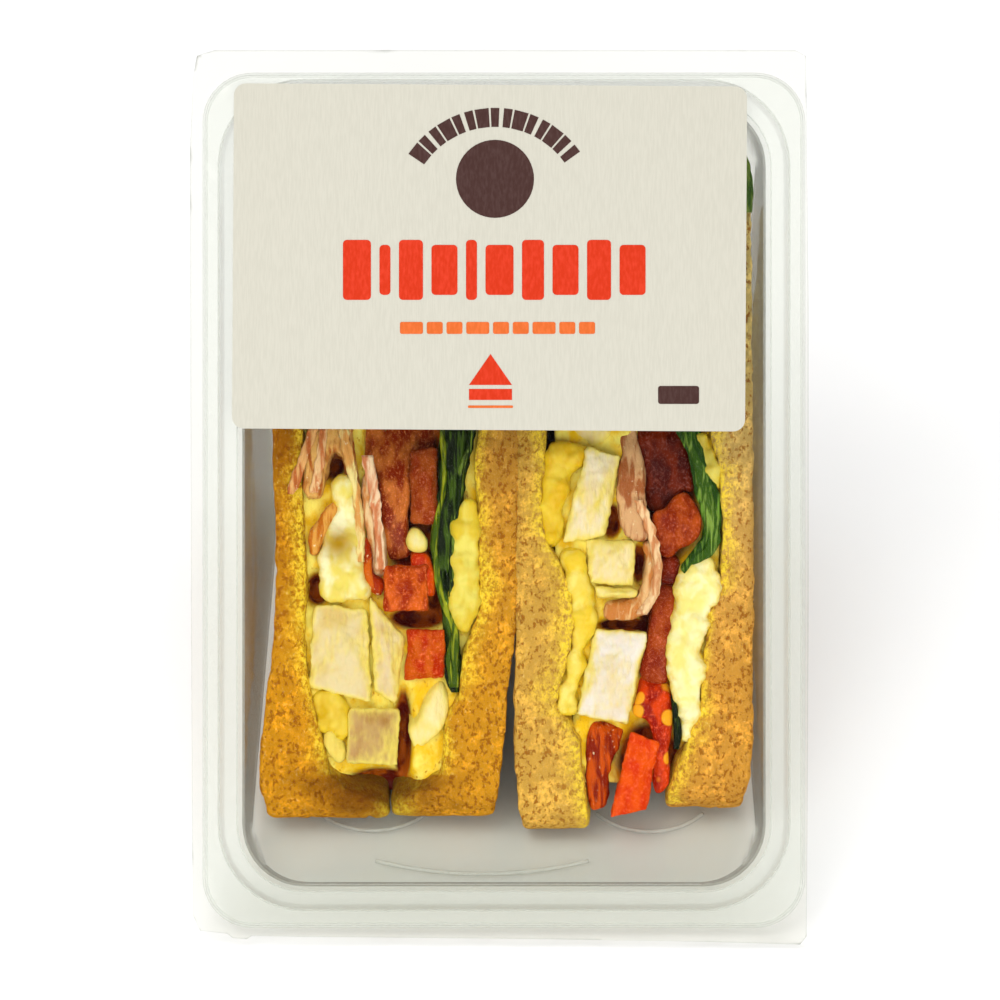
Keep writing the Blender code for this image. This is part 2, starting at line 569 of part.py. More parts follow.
def settle(collection):
    """Stand the pack on the floor with the middle of its box over the origin."""
    bpy.context.view_layer.update()
    graph = bpy.context.evaluated_depsgraph_get()
    points = []
    for obj in collection.objects:
        solid = obj.evaluated_get(graph)
        shape = solid.to_mesh()
        points += [vert.co.copy() for vert in shape.vertices]
        solid.to_mesh_clear()
    low = Vector([min(point[axis] for point in points) for axis in range(3)])
    high = Vector([max(point[axis] for point in points) for axis in range(3)])
    shift = Vector((-(low.x + high.x) / 2, -(low.y + high.y) / 2, -low.z))
    for obj in collection.objects:
        for vert in obj.data.vertices:
            vert.co += shift
        obj.data.update()
    size = (high - low) / MM
    print("shift in mm", [round(value / MM, 4) for value in shift])
    print("size in mm", [round(value, 2) for value in size])


def main():
    clear_scene()
    pack = bpy.data.collections.new("packed_sandwich")
    bpy.context.scene.collection.children.link(pack)
    make_tray(pack)
    make_film(pack)
    make_label(pack)
    make_half("left", ("bread_1_left", "bread_1_right"), LEFT_FILLING, LEFT_CORE, pack)
    make_half("right", ("bread_2_left", "bread_2_right"), RIGHT_FILLING, RIGHT_CORE, pack)
    settle(pack)


main()
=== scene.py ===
# %% [markdown]
# The packed sandwich, dressed for a picture
# The real object is a clear wedge tray with two filled sandwich halves inside, sealed with film.
# The CAD model gives every solid its place, and this script gives each of them its true surface.
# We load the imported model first, because everything else is measured from it.

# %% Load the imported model
import math
import random

import bmesh
import bpy
from mathutils import Matrix, Vector, noise


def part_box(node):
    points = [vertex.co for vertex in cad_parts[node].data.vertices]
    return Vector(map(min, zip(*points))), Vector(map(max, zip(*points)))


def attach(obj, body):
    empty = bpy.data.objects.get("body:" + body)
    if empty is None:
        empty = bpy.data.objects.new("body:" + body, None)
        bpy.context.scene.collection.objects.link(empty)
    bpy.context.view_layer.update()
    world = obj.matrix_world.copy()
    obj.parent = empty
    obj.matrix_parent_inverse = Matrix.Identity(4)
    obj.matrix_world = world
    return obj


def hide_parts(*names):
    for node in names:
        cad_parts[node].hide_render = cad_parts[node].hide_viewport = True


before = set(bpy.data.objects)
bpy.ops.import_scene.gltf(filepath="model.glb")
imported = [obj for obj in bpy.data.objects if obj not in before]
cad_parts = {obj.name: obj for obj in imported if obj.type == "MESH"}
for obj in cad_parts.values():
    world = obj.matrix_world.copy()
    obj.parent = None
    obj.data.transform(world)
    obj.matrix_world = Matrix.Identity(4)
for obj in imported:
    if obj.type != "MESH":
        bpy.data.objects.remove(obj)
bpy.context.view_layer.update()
print("nodes in the packed model:", len(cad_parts))

# %% [markdown]
# The pack's own directions
# The pack stands on one leg of its wedge, so its front leans back by 45 degrees.
# Drawing on a leaning plane is awkward, so we work in the pack's own directions, in millimetres:
# u to the right, v up the front, w straight out of the front. One matrix turns them into the room.
# One could also draw lying flat and turn each object, but its place has to be in its mesh.

# %% Name the pack's directions and the sizes that several pieces share
MM = 0.001
LEAN = math.radians(45)
PACK_ORIGIN = Vector((0.95, -1.0955, 63.886)) * MM
PACK = Matrix.Translation(PACK_ORIGIN) @ Matrix.Rotation(LEAN, 4, "X") @ Matrix.Scale(MM, 4)
ROOM_TO_PACK = PACK.inverted()

CUT_FACE = -13.0
FACE_MIDDLE = -2.75
CORNER_DEPTH = 72.25
FILM_TOP = 0.35
LABEL_TOP = 0.65

label_low, label_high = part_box("label")
print("width of the label in mm:", round((label_high - label_low).x / MM, 1))


# %% [markdown]
# Small helpers for meshes
# Every piece is drawn in a bmesh and then placed by moving its points, never its object.
# Moving the object would be shorter, but then a pattern on object coordinates would slide when
# the pack is exported, so each object stays at the origin.

# %% Turn a bmesh into a piece that rides on the pack
def make_piece(name, bm, material, slot, replaced=(), matrix=PACK, smooth=True):
    """Keep a bmesh as a finished piece of the pack."""
    bmesh.ops.transform(bm, matrix=matrix, verts=bm.verts)
    mesh = bpy.data.meshes.new(name)
    bm.to_mesh(mesh)
    bm.free()
    for polygon in mesh.polygons:
        polygon.use_smooth = smooth
    mesh.materials.append(material)
    piece = bpy.data.objects.new(name, mesh)
    bpy.context.scene.collection.objects.link(piece)
    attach(piece, "root")
    if replaced:
        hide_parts(*replaced)
    return piece


def bake_modifiers(piece):
    """Replace a piece's mesh by what its modifiers make of it."""
    bpy.context.view_layer.update()
    graph = bpy.context.evaluated_depsgraph_get()
    mesh = bpy.data.meshes.new_from_object(piece.evaluated_get(graph))
    piece.modifiers.clear()
    piece.data = mesh


print("helpers for meshes:", make_piece.__name__, bake_modifiers.__name__)


# %% [markdown]
# Small helpers for materials
# Colours are given as the eye sees them, from 0 to 255, and turned into the linear values
# that a shader needs. Every material could be wired by hand in the editor, but they all use the
# same few nodes, so a small class makes those. Patterns read object coordinates through a
# Mapping node, which turns them into the pack's own directions and measures them in a chosen
# feature size.

# %% Build materials from a few short words
def seen(red, green, blue):
    """A colour as the eye sees it, as linear values."""
    linear = []
    for value in (red, green, blue):
        share = value / 255
        linear.append(share / 12.92 if share <= 0.04045 else ((share + 0.055) / 1.055) ** 2.4)
    return (*linear, 1.0)


class Finish:
    """A material with its shader and the few kinds of node that these finishes need."""

    def __init__(self, name, roughness=0.5, specular=0.12, **settings):
        self.material = bpy.data.materials.new(name)
        self.material.use_nodes = True
        self.tree = self.material.node_tree
        self.shader = self.tree.nodes["Principled BSDF"]
        self.output = self.tree.nodes["Material Output"]
        self.shader.inputs["Roughness"].default_value = roughness
        self.shader.inputs["Specular IOR Level"].default_value = specular
        for key, value in settings.items():
            self.shader.inputs[key.replace("_", " ")].default_value = value

    def node(self, kind, **settings):
        """A new node of a kind, with its settings."""
        node = self.tree.nodes.new(kind)
        for key, value in settings.items():
            setattr(node, key, value)
        return node

    def join(self, source, target):
        """A link from one socket to another."""
        self.tree.links.new(source, target)

    def places(self, size=(1, 1, 1)):
        """Places in the pack's own directions, counted in features of the given millimetres."""
        coordinates = self.node("ShaderNodeTexCoord")
        mapping = self.node("ShaderNodeMapping", vector_type="TEXTURE")
        mapping.inputs["Location"].default_value = PACK_ORIGIN
        mapping.inputs["Rotation"].default_value = (LEAN, 0, 0)
        mapping.inputs["Scale"].default_value = [value * MM for value in size]
        self.join(coordinates.outputs["Object"], mapping.inputs["Vector"])
        return mapping.outputs["Vector"]

    def clouds(self, size, detail=3.0, roughness=0.5, distortion=0.0):
        """Soft noise with features of about the given millimetres."""
        texture = self.node("ShaderNodeTexNoise")
        texture.inputs["Scale"].default_value = 1.0
        texture.inputs["Detail"].default_value = detail
        texture.inputs["Roughness"].default_value = roughness
        texture.inputs["Distortion"].default_value = distortion
        self.join(self.places(size), texture.inputs["Vector"])
        return texture.outputs["Fac"]

    def cells(self, size, randomness=1.0):
        """Distance to the nearest of many scattered points."""
        texture = self.node("ShaderNodeTexVoronoi", feature="F1")
        texture.inputs["Scale"].default_value = 1.0
        texture.inputs["Randomness"].default_value = randomness
        self.join(self.places(size), texture.inputs["Vector"])
        return texture.outputs["Distance"]

    def between(self, value, low, high):
        """Stretch a value so that low becomes 0 and high becomes 1, with soft ends."""
        spread = self.node("ShaderNodeMapRange", interpolation_type="SMOOTHSTEP")
        self.join(value, spread.inputs["Value"])
        spread.inputs["From Min"].default_value = low
        spread.inputs["From Max"].default_value = high
        return spread.outputs["Result"]

    def spread(self, value, low, high):
        """Take a value from 0 to 1 evenly to the span from low to high."""
        spread = self.node("ShaderNodeMapRange")
        self.join(value, spread.inputs["Value"])
        spread.inputs["To Min"].default_value = low
        spread.inputs["To Max"].default_value = high
        return spread.outputs["Result"]

    def sum(self, first, second, share=1.0):
        """The first value plus a share of the second."""
        add = self.node("ShaderNodeMath", operation="MULTIPLY_ADD")
        self.join(second, add.inputs[0])
        add.inputs[1].default_value = share
        self.join(first, add.inputs[2])
        return add.outputs["Value"]

    def product(self, first, second):
        """One value times another, so that both must be high for a high result."""
        multiply = self.node("ShaderNodeMath", operation="MULTIPLY")
        self.join(first, multiply.inputs[0])
        self.join(second, multiply.inputs[1])
        return multiply.outputs["Value"]

    def blend(self, factor, first, second):
        """Mix two colours, each a fixed colour or the result of another blend."""
        mix = self.node("ShaderNodeMix", data_type="RGBA")
        self.join(factor, mix.inputs["Factor"])
        for socket, colour in ((mix.inputs[6], first), (mix.inputs[7], second)):
            if isinstance(colour, tuple):
                socket.default_value = colour
            else:
                self.join(colour, socket)
        return mix.outputs[2]

    def painted(self, name):
        """A value painted on the piece's points."""
        attribute = self.node("ShaderNodeAttribute", attribute_name=name)
        return attribute.outputs["Fac"]

    def colour(self, source):
        """Let the base colour follow a colour output."""
        self.join(source, self.shader.inputs["Base Color"])

    def rough(self, value, low, high):
        """Let the roughness follow a value between two limits."""
        self.join(self.spread(value, low, high), self.shader.inputs["Roughness"])

    def relief(self, height, depth, strength=1.0):
        """Raise the surface by a value, with the relief's depth in millimetres."""
        bump = self.node("ShaderNodeBump")
        bump.inputs["Strength"].default_value = strength
        bump.inputs["Distance"].default_value = depth * MM
        self.join(height, bump.inputs["Height"])
        self.join(bump.outputs["Normal"], self.shader.inputs["Normal"])


print("a middle grey, as a linear value:", round(seen(128, 128, 128)[0], 3))


# %% [markdown]
# The camera
# The photograph looks square on to the sloping front, from far away, so its edges stay straight.
# An orthographic camera would do for this one picture, but a long lens at a distance gives the
# same flat look and stays a real camera. The frame is 200 mm wide at the film.

# %% Place the camera square on to the front
CAMERA_DISTANCE = 1600.0
FRAME_WIDTH = 200.0
FRAME_CENTRE = -0.8
SENSOR = 36.0

lens = bpy.data.cameras.new("camera")
lens.sensor_width = SENSOR
lens.lens = SENSOR * CAMERA_DISTANCE / FRAME_WIDTH
camera = bpy.data.objects.new("camera", lens)
stand = PACK @ Vector((FRAME_CENTRE, 0, CAMERA_DISTANCE))
camera.matrix_world = Matrix.Translation(stand) @ Matrix.Rotation(LEAN, 4, "X")
bpy.context.scene.collection.objects.link(camera)
bpy.context.scene.camera = camera
print("focal length:", round(lens.lens, 1))

# %% [markdown]
# Light and floor
# Product pictures of packed food use big soft sources and a white surround, so that the clear
# plastic shows by its bright and grey edges and not by hard glints. A single lamp would throw a
# hard shadow into the tray, so one soft box looks in from above and a stronger one from below.
# Light passes many clear walls, so they get enough steps, and two bounces are enough for food.

# %% Light the pack softly
WORLD_STRENGTH = 0.97
SOFT_BOXES = {
    "key": {"place": (-350, 420, 700), "size": 0.5, "power": 2.8},
    "fill": {"place": (120, -470, 650), "size": 0.6, "power": 4.0},
}
FLOOR_HALF = 4.0
FLOOR_DROP = 0.0002

world = bpy.data.worlds.new("studio")
world.use_nodes = True
world.node_tree.nodes["Background"].inputs["Color"].default_value = (1.0, 1.0, 1.0, 1.0)
world.node_tree.nodes["Background"].inputs["Strength"].default_value = WORLD_STRENGTH
bpy.context.scene.world = world
bpy.context.scene.view_settings.view_transform = "Standard"
bpy.context.scene.cycles.transparent_max_bounces = 32
bpy.context.scene.cycles.diffuse_bounces = 2
bpy.context.scene.cycles.glossy_bounces = 2


def soft_light(name, place, size, power):
    """A square soft box that looks from a place, in pack millimetres, at the middle of the front."""
    data = bpy.data.lights.new(name, "AREA")
    data.shape = "SQUARE"
    data.size = size
    data.energy = power
    light = bpy.data.objects.new(name, data)
    start = PACK @ Vector(place)
    towards = PACK @ Vector() - start
    turn = towards.to_track_quat("-Z", "Y").to_matrix().to_4x4()
    light.matrix_world = Matrix.Translation(start) @ turn
    bpy.context.scene.collection.objects.link(light)


for light_name, box in SOFT_BOXES.items():
    soft_light(light_name, **box)

floor_finish = Finish("pale_floor", roughness=0.7)
floor_tone = floor_finish.clouds((40, 40, 40))
floor_finish.colour(floor_finish.blend(floor_tone, seen(243, 243, 243), seen(246, 246, 246)))
bm = bmesh.new()
bmesh.ops.create_grid(bm, x_segments=1, y_segments=1, size=FLOOR_HALF)
floor_mesh = bpy.data.meshes.new("floor")
bm.to_mesh(floor_mesh)
bm.free()
floor_mesh.materials.append(floor_finish.material)
floor = bpy.data.objects.new("floor", floor_mesh)
floor_mesh.transform(Matrix.Translation((0, 0, -FLOOR_DROP)))
bpy.context.scene.collection.objects.link(floor)
print("lights:", len(SOFT_BOXES))


# %% [markdown]
# Clear plastic
# Thin clear sheet hardly bends light. A glass shader would bend it and make dark, noisy food, so
# we let light pass straight through and add only what makes the sheet visible: a slight tint,
# more tint where it is seen edge on, a little milk, and gloss that grows towards the edges.

# %% Make the clear sheet and film
GRAZING_POWER = 5.0
EDGE_SHINE = 0.55
HAZE_SHARE = 0.03
GLOSS_SPREAD = (0.7, 1.4)
MILKY_WHITE = seen(243, 244, 242)
CLEAR_SHEETS = {
    "clear_tray": {"tints": (seen(252, 253, 252), seen(112, 114, 104)), "turned": (0.72, 1.03), "gloss": 0.08,
                   "shine": 0.02, "milk": 0.17, "haze_size": (14, 14, 14), "haze_depth": 0.12},
    "clear_film": {"tints": (seen(252, 252, 250), seen(200, 201, 195)), "turned": (0.1, 0.7), "gloss": 0.12,
                   "shine": 0.001, "milk": 0.001, "haze_size": (12, 18, 12), "haze_depth": 0.15},
}


def mixed(finish, factor, first, second):
    """Two shaders mixed by a fixed share or by a value."""
    mix = finish.node("ShaderNodeMixShader")
    if isinstance(factor, float):
        mix.inputs["Fac"].default_value = factor
    else:
        finish.join(factor, mix.inputs["Fac"])
    finish.join(first.outputs[0], mix.inputs[1])
    finish.join(second.outputs[0], mix.inputs[2])
    return mix


def clear_sheet(name, tints, turned, gloss, shine, milk, haze_size, haze_depth):
    """A see-through finish that greys and shines where the sheet turns away from the eye."""
    finish = Finish(name)
    finish.tree.nodes.remove(finish.shader)
    haze = finish.clouds(haze_size, detail=0.0)
    facing = finish.node("ShaderNodeLayerWeight")
    facing.inputs["Blend"].default_value = 0.5

    through = finish.node("ShaderNodeBsdfTransparent")
    edge_on = finish.between(finish.sum(facing.outputs["Facing"], haze, HAZE_SHARE), *turned)
    finish.join(finish.blend(edge_on, *tints), through.inputs["Color"])
    body = finish.node("ShaderNodeBsdfDiffuse")
    body.inputs["Color"].default_value = MILKY_WHITE

    mirror = finish.node("ShaderNodeBsdfGlossy")
    low, high = GLOSS_SPREAD
    finish.join(finish.spread(haze, gloss * low, gloss * high), mirror.inputs["Roughness"])
    bump = finish.node("ShaderNodeBump")
    bump.inputs["Distance"].default_value = haze_depth * MM
    finish.join(haze, bump.inputs["Height"])
    finish.join(bump.outputs["Normal"], mirror.inputs["Normal"])

    grazing = finish.node("ShaderNodeMath", operation="POWER")
    finish.join(facing.outputs["Facing"], grazing.inputs[0])
    grazing.inputs[1].default_value = GRAZING_POWER
    mirrored = finish.spread(grazing.outputs["Value"], shine, EDGE_SHINE)
    surface = mixed(finish, mirrored, mixed(finish, milk, through, body), mirror)
    finish.join(surface.outputs["Shader"], finish.output.inputs["Surface"])
    return finish.material


tray_finish = clear_sheet("clear_tray", **CLEAR_SHEETS["clear_tray"])
film_finish = clear_sheet("clear_film", **CLEAR_SHEETS["clear_film"])
print("clear finishes:", tray_finish.name, film_finish.name)


# %% [markdown]
# The tray
# A real tray starts as a flat sheet that is drawn into a mould: rim, step, ledge, a straight
# collar, and two flat legs that meet in a rounded ridge at the back. It could be cut from a
# block, but the sheet is the same outline over and over, only deeper and smaller. So we draw one
# outline per level, bridge them into a skin, round its folds with a bevel and give the sheet its
# thickness.

# %% Draw the tray level by level
RIM_HALF = 60.3
RIM_LOW, RIM_HIGH = -85.6, 85.5
RIM_RADIUS = 10.0
CAVITY_HALF = 52.0
CAVITY_LOW, CAVITY_HIGH = -77.0, 79.0
CAVITY_RADIUS = 12.0
COLLAR_DEPTH = 12.5
DEEP_RADIUS = 5.0
RIDGE_RADIUS = 8.0
SIDE_DRAFT = math.tan(math.radians(3.4))
SHEET = 0.5
FOLD_ANGLE, FOLD_WIDTH = 18, 0.8
TURN_STEPS = 10
RIM_EDGE = 0.7
RIM_SKIRT = 2.2
STEPS_DOWN = ((0.0, 4.8), (-3.0, 4.0), (-3.0, 1.3), (-4.5, 0.0), (-COLLAR_DEPTH, -0.6))
FIRST_DEPTH = 7.0


def rounded_outline(half, low, high, radius, steps=TURN_STEPS):
    """Points around an upright rectangle with round corners, anticlockwise."""
    radius = min(radius, (high - low) / 2 - 0.01)
    points = []
    for quarter in range(4):
        side = 1 if quarter in (0, 3) else -1
        top = quarter < 2
        centre_u = side * (half - radius)
        centre_v = high - radius if top else low + radius
        for step in range(steps + 1):
            angle = math.radians(90 * quarter + 90 * step / steps)
            points.append((centre_u + radius * math.cos(angle), centre_v + radius * math.sin(angle)))
    return points


def tray_levels():
    """The tray's food side, from the rim's lower edge to the ridge at the back."""
    edge = RIM_EDGE
    levels = [
        (-RIM_SKIRT, RIM_HALF, RIM_LOW, RIM_HIGH, RIM_RADIUS),
        (-edge, RIM_HALF, RIM_LOW, RIM_HIGH, RIM_RADIUS),
        (0.0, RIM_HALF - edge, RIM_LOW + edge, RIM_HIGH - edge, RIM_RADIUS - edge),
    ]
    for w, out in STEPS_DOWN:
        lean = max(out, 0.0)
        levels.append((w, CAVITY_HALF + out, CAVITY_LOW - lean, CAVITY_HIGH + lean, CAVITY_RADIUS + lean))
    sharp = (CAVITY_HIGH - CAVITY_LOW) / 2
    middle = (CAVITY_HIGH + CAVITY_LOW) / 2
    centre = sharp - RIDGE_RADIUS * math.sqrt(2)
    straight = centre + RIDGE_RADIUS * math.sqrt(0.5)
    depths = [(FIRST_DEPTH, sharp - FIRST_DEPTH)]
    depths += [(straight * share / 4, sharp - straight * share / 4) for share in range(1, 5)]
    for angle in range(53, 86, 8):
        turn = math.radians(angle)
        depths.append((centre + RIDGE_RADIUS * math.sin(turn), RIDGE_RADIUS * math.cos(turn)))
    for depth, half_height in depths:
        half = CAVITY_HALF + STEPS_DOWN[-1][1] - depth * SIDE_DRAFT
        levels.append((-COLLAR_DEPTH - depth, half, middle - half_height, middle + half_height, DEEP_RADIUS))
    return levels


def closed_loop(bm, outline, w):
    """A ring of edges at one level."""
    verts = [bm.verts.new((u, v, w)) for u, v in outline]
    return [bm.edges.new((verts[i], verts[(i + 1) % len(verts)])) for i in range(len(verts))]


def make_tray():
    """Bridge the levels, round the folds and give the sheet its thickness."""
    bm = bmesh.new()
    rings = []
    for w, half, low, high, radius in tray_levels():
        rings.append(closed_loop(bm, rounded_outline(half, low, high, radius), w))
    for upper, lower in zip(rings, rings[1:]):
        bmesh.ops.bridge_loops(bm, edges=upper + lower)
    bmesh.ops.edgeloop_fill(bm, edges=rings[-1])
    bmesh.ops.recalc_face_normals(bm, faces=bm.faces)
    ridge = min(bm.faces, key=lambda face: face.calc_center_median().z)
    if ridge.normal.z < 0:
        bmesh.ops.reverse_faces(bm, faces=bm.faces)
    tray = make_piece("tray_sheet", bm, tray_finish, "clear_tray", ["tray"])
    folds = tray.modifiers.new("folds", "BEVEL")
    folds.limit_method = "ANGLE"
    folds.angle_limit = math.radians(FOLD_ANGLE)
    folds.width = FOLD_WIDTH * MM
    folds.segments = 3
    wall = tray.modifiers.new("wall", "SOLIDIFY")
    wall.thickness = SHEET * MM
    wall.offset = -1.0
    wall.use_even_offset = True
    flats = tray.modifiers.new("flats", "WEIGHTED_NORMAL")
    flats.keep_sharp = False
    bake_modifiers(tray)
    return tray


tray = make_tray()
print("tray triangles:", sum(len(polygon.vertices) - 2 for polygon in tray.data.polygons))


# %% [markdown]
# Embossed lips
# Shallow pads are pressed into the lower wall so that the sandwiches don't stick to it. Only
# their curved lips catch light. Cutting the pads into the sheet would need a very fine mesh, so
# each lip is a part of a thin ring, spun and laid on the wall, which runs back at 45 degrees
# from the foot of the collar.

# %% Lay the lips on the lower wall
LIP_BULGE = 0.4
LIP_RISE = 0.24
LIP_SIDES = 8
LIP_STEPS = 40
LIPS = {
    "pad_lip_left": {"centre": -26.6, "half_width": 11.6, "height": 5.5, "foot": -67.2},
    "pad_lip_right": {"centre": 29.6, "half_width": 10.8, "height": 5.0, "foot": -67.4},
    "pad_lip_middle": {"centre": -4.4, "half_width": 21.5, "height": 3.6, "foot": -75.6},
}


def make_lip(name, data):
    """One lip: a part of a ring through its two ends and its foot."""
    wide, height = data["half_width"], data["height"]
    radius = (wide ** 2 + height ** 2) / (2 * height)
    half_angle = math.asin(wide / radius)
    bm = bmesh.new()
    begin = Matrix.Rotation(-math.pi / 2 - half_angle, 4, "Z") @ Matrix.Translation((radius, 0, 0))
    bmesh.ops.create_circle(bm, cap_ends=False, segments=LIP_SIDES, radius=LIP_BULGE,
                            matrix=begin @ Matrix.Rotation(math.pi / 2, 4, "X"))
    bmesh.ops.spin(bm, geom=bm.verts[:] + bm.edges[:], cent=(0, 0, 0), axis=(0, 0, 1),
                   angle=2 * half_angle, steps=LIP_STEPS, use_merge=False)
    bmesh.ops.holes_fill(bm, edges=bm.edges)
    bmesh.ops.translate(bm, vec=(0, radius, LIP_RISE), verts=bm.verts)
    bmesh.ops.rotate(bm, cent=(0, 0, 0), matrix=Matrix.Rotation(-math.pi / 4, 3, "X"), verts=bm.verts)
    foot_w = -COLLAR_DEPTH - (data["foot"] - CAVITY_LOW)
    bmesh.ops.translate(bm, vec=(data["centre"], data["foot"], foot_w), verts=bm.verts)
    bmesh.ops.recalc_face_normals(bm, faces=bm.faces)
    make_piece(name, bm, tray_finish, "clear_tray")


for lip_name, lip_data in LIPS.items():
    make_lip(lip_name, lip_data)
print("lips:", len(LIPS))


# %% [markdown]
# The film lid
# Sealing film is pulled tight over the rim and cut a little large, so it ripples outside the
# seal and creases at the corners. A cloth simulation would ripple it too, but not where the real
# film does. So a flat face with the film's outline is cut into a fine grid, and the ripples and
# creases are moves of its points out of the film's plane.

# %% Cut, ripple and crease the film
FILM_EDGE = [(-62.2, 84.4), (-61.4, 88.8), (-57.8, 90.0), (-24.8, 90.0), (19.2, 90.0), (58.2, 90.0),
             (60.4, 88.8), (60.9, 40.0), (60.9, -20.0), (60.7, -60.0), (60.5, -87.2), (59.2, -88.9),
             (39.2, -88.3), (-0.8, -87.7), (-40.8, -87.3), (-50.4, -87.1), (-51.4, -87.8), (-54.2, -87.6),
             (-55.4, -86.7), (-60.8, -86.1), (-62.2, -83.1), (-62.5, -40.0), (-62.7, 20.0), (-62.8, 70.0)]
FILM_GRID = 1.0
FILM_THICKNESS = 0.06
FILM_SINK = 0.12
SEAL_HALF, SEAL_END, BEYOND_SEAL = 57.0, 82.0, 5.0
CREASE_WIDTH = 0.8
CREASES = [((-61.5, 69.0), (-57.5, 64.5), 0.9), ((-60.5, 87.0), (-55.4, 81.6), 0.8),
           ((-41.0, 84.0), (-23.0, 88.5), 0.7), ((46.2, 86.0), (46.4, 90.0), 0.8),
           ((-60.0, 89.0), (-56.0, 82.0), 0.8), ((57.0, 87.0), (60.0, 80.0), 0.6),
           ((-62.0, 60.0), (-58.0, 52.0), 0.6), ((-61.8, -70.0), (-56.0, -84.0), 0.6),
           ((54.0, -84.0), (60.0, -88.0), 0.7), ((-30.0, 86.5), (12.0, 87.5), 0.5)]


def along(point, start, end):
    """How far a point lies from a straight line between two others."""
    start, end, point = Vector(start), Vector(end), Vector(point)
    line = end - start
    share = min(max((point - start).dot(line) / line.length_squared, 0.0), 1.0)
    return (point - start - line * share).length


def film_height(u, v):
    """How far the film stands off its flat place, in millimetres."""
    outside = max(abs(u) - SEAL_HALF, v - SEAL_END, -v - SEAL_END, 0.0) / BEYOND_SEAL
    ripple = noise.noise(Vector((u / 9, v / 9, 3.0))) * 0.35 * min(outside, 1.0)
    slack = noise.noise(Vector((u / 38, v / 38, 7.0))) * 0.15
    crease = 0.0
    for start, end, height in CREASES:
        crease += height * math.exp(-((along((u, v), start, end) / CREASE_WIDTH) ** 2))
    return ripple + slack * (1 - min(outside, 1.0)) * 0.5 + crease


def make_film():
    """Cut the outline into a grid, move its points and give the film its thickness."""
    bm = bmesh.new()
    bm.faces.new([bm.verts.new((u, v, 0)) for u, v in FILM_EDGE])
    for axis, reach in ((0, 66.0), (1, 93.0)):
        step = -reach
        while step < reach:
            place = Vector((0, 0, 0))
            place[axis] = step
            across = Vector((0, 0, 0))
            across[axis] = 1.0
            geometry = list(bm.verts) + list(bm.edges) + list(bm.faces)
            bmesh.ops.bisect_plane(bm, geom=geometry, dist=0.0001, plane_co=place, plane_no=across)
            step += FILM_GRID
    for vert in bm.verts:
        vert.co.z = FILM_TOP - FILM_SINK + film_height(vert.co.x, vert.co.y)
    bmesh.ops.recalc_face_normals(bm, faces=bm.faces)
    if sum(face.normal.z for face in bm.faces) < 0:
        bmesh.ops.reverse_faces(bm, faces=bm.faces)
    film = make_piece("film_sheet", bm, film_finish, "clear_film", ["film_lid"])
    wall = film.modifiers.new("wall", "SOLIDIFY")
    wall.thickness = FILM_THICKNESS * MM
    wall.offset = -1.0
    bake_modifiers(film)
    return film


film = make_film()
print("film triangles:", sum(len(polygon.vertices) - 2 for polygon in film.data.polygons))


# %% [markdown]
# The paper label
# The label is cream paper with a fine laid texture, upright lines a few tenths of a millimetre
# apart. A new sheet could be drawn for it, but the CAD node already has the right shape, so it
# stays and only gets a better finish.

# %% Finish the label's paper
paper = Finish("label_paper", roughness=0.8)
laid = paper.clouds((0.22, 3.0, 1.0), detail=1.0)
fibre = paper.clouds((1.6, 1.6, 1.6), detail=4.0)
paper.colour(paper.blend(paper.between(laid, 0.3, 0.7), seen(181, 178, 165), seen(186, 183, 170)))
paper.relief(paper.sum(laid, fibre, 0.6), 0.03, 0.4)
paper.rough(fibre, 0.7, 0.9)
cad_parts["label"].data.materials.clear()
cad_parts["label"].data.materials.append(paper.material)
print("finish of the label:", paper.material.name)


# %% [markdown]
# The label's print
# The print is a few plain shapes in flat ink. They could be painted into the paper's material,
# but shapes give cleaner edges and stay sharp in any size. Each ink is one mesh of thin shapes
# that stand a few hundredths of a millimetre off the paper, like a dry layer of ink.

# %% Write helpers for ink and printed shapes
INK_BASE = LABEL_TOP + 0.02
INK_THICKNESS = 0.04


def ink(name, colour):
    """Flat ink, a little lighter where it has worn thin."""
    finish = Finish(name, roughness=0.6)
    wear = finish.clouds((0.5, 1.5, 1.0), detail=4.0)
    lighter = tuple(min(value * 1.15 + 0.01, 1.0) for value in colour[:3]) + (1.0,)
    finish.colour(finish.blend(finish.between(wear, 0.35, 0.75), colour, lighter))
    finish.relief(wear, 0.03, 0.5)
    finish.rough(wear, 0.5, 0.7)
    return finish.material


def add_shape(bm, outline):
    """One flat printed shape with a little thickness."""
    face = bm.faces.new([bm.verts.new((u, v, INK_BASE)) for u, v in outline])
    grown = bmesh.ops.extrude_face_region(bm, geom=[face])
    moved = [item for item in grown["geom"] if isinstance(item, bmesh.types.BMVert)]
    bmesh.ops.translate(bm, verts=moved, vec=(0, 0, INK_THICKNESS))


def add_bar(bm, left, right, low, high, radius=0.5):
    """An upright or level bar with round corners."""
    half = (right - left) / 2
    outline = rounded_outline(half, low, high, min(radius, half), 4)
    add_shape(bm, [(u + left + half, v) for u, v in outline])


def finish_print(name, bm, material):
    """Turn the shapes of one ink into a piece that lies on the label."""
    bmesh.ops.recalc_face_normals(bm, faces=bm.faces)
    make_piece(name, bm, material, "label_paper", smooth=False)


print("height of the ink in mm:", INK_THICKNESS)

# %% [markdown]
# An arc of marks, a disc and a bar in brown
# Fifteen marks stand around a disc like the hours on half a clock. Each mark is a small tilted
# rectangle, found by its angle on the arc, which is easier than turning copies of one mark.

# %% Print the brown shapes
ARC_CENTRE = (-1.8, 57.5)
ARC_RADIUS = 19.0
ARC_MARKS = 15
ARC_FROM, ARC_SPAN = 142, 104
MARK_HALF_HEIGHT = 1.9
DISC_CENTRE = (-1.8, 64.2)
DISC_RADIUS = 7.8
DISC_STEPS = 48

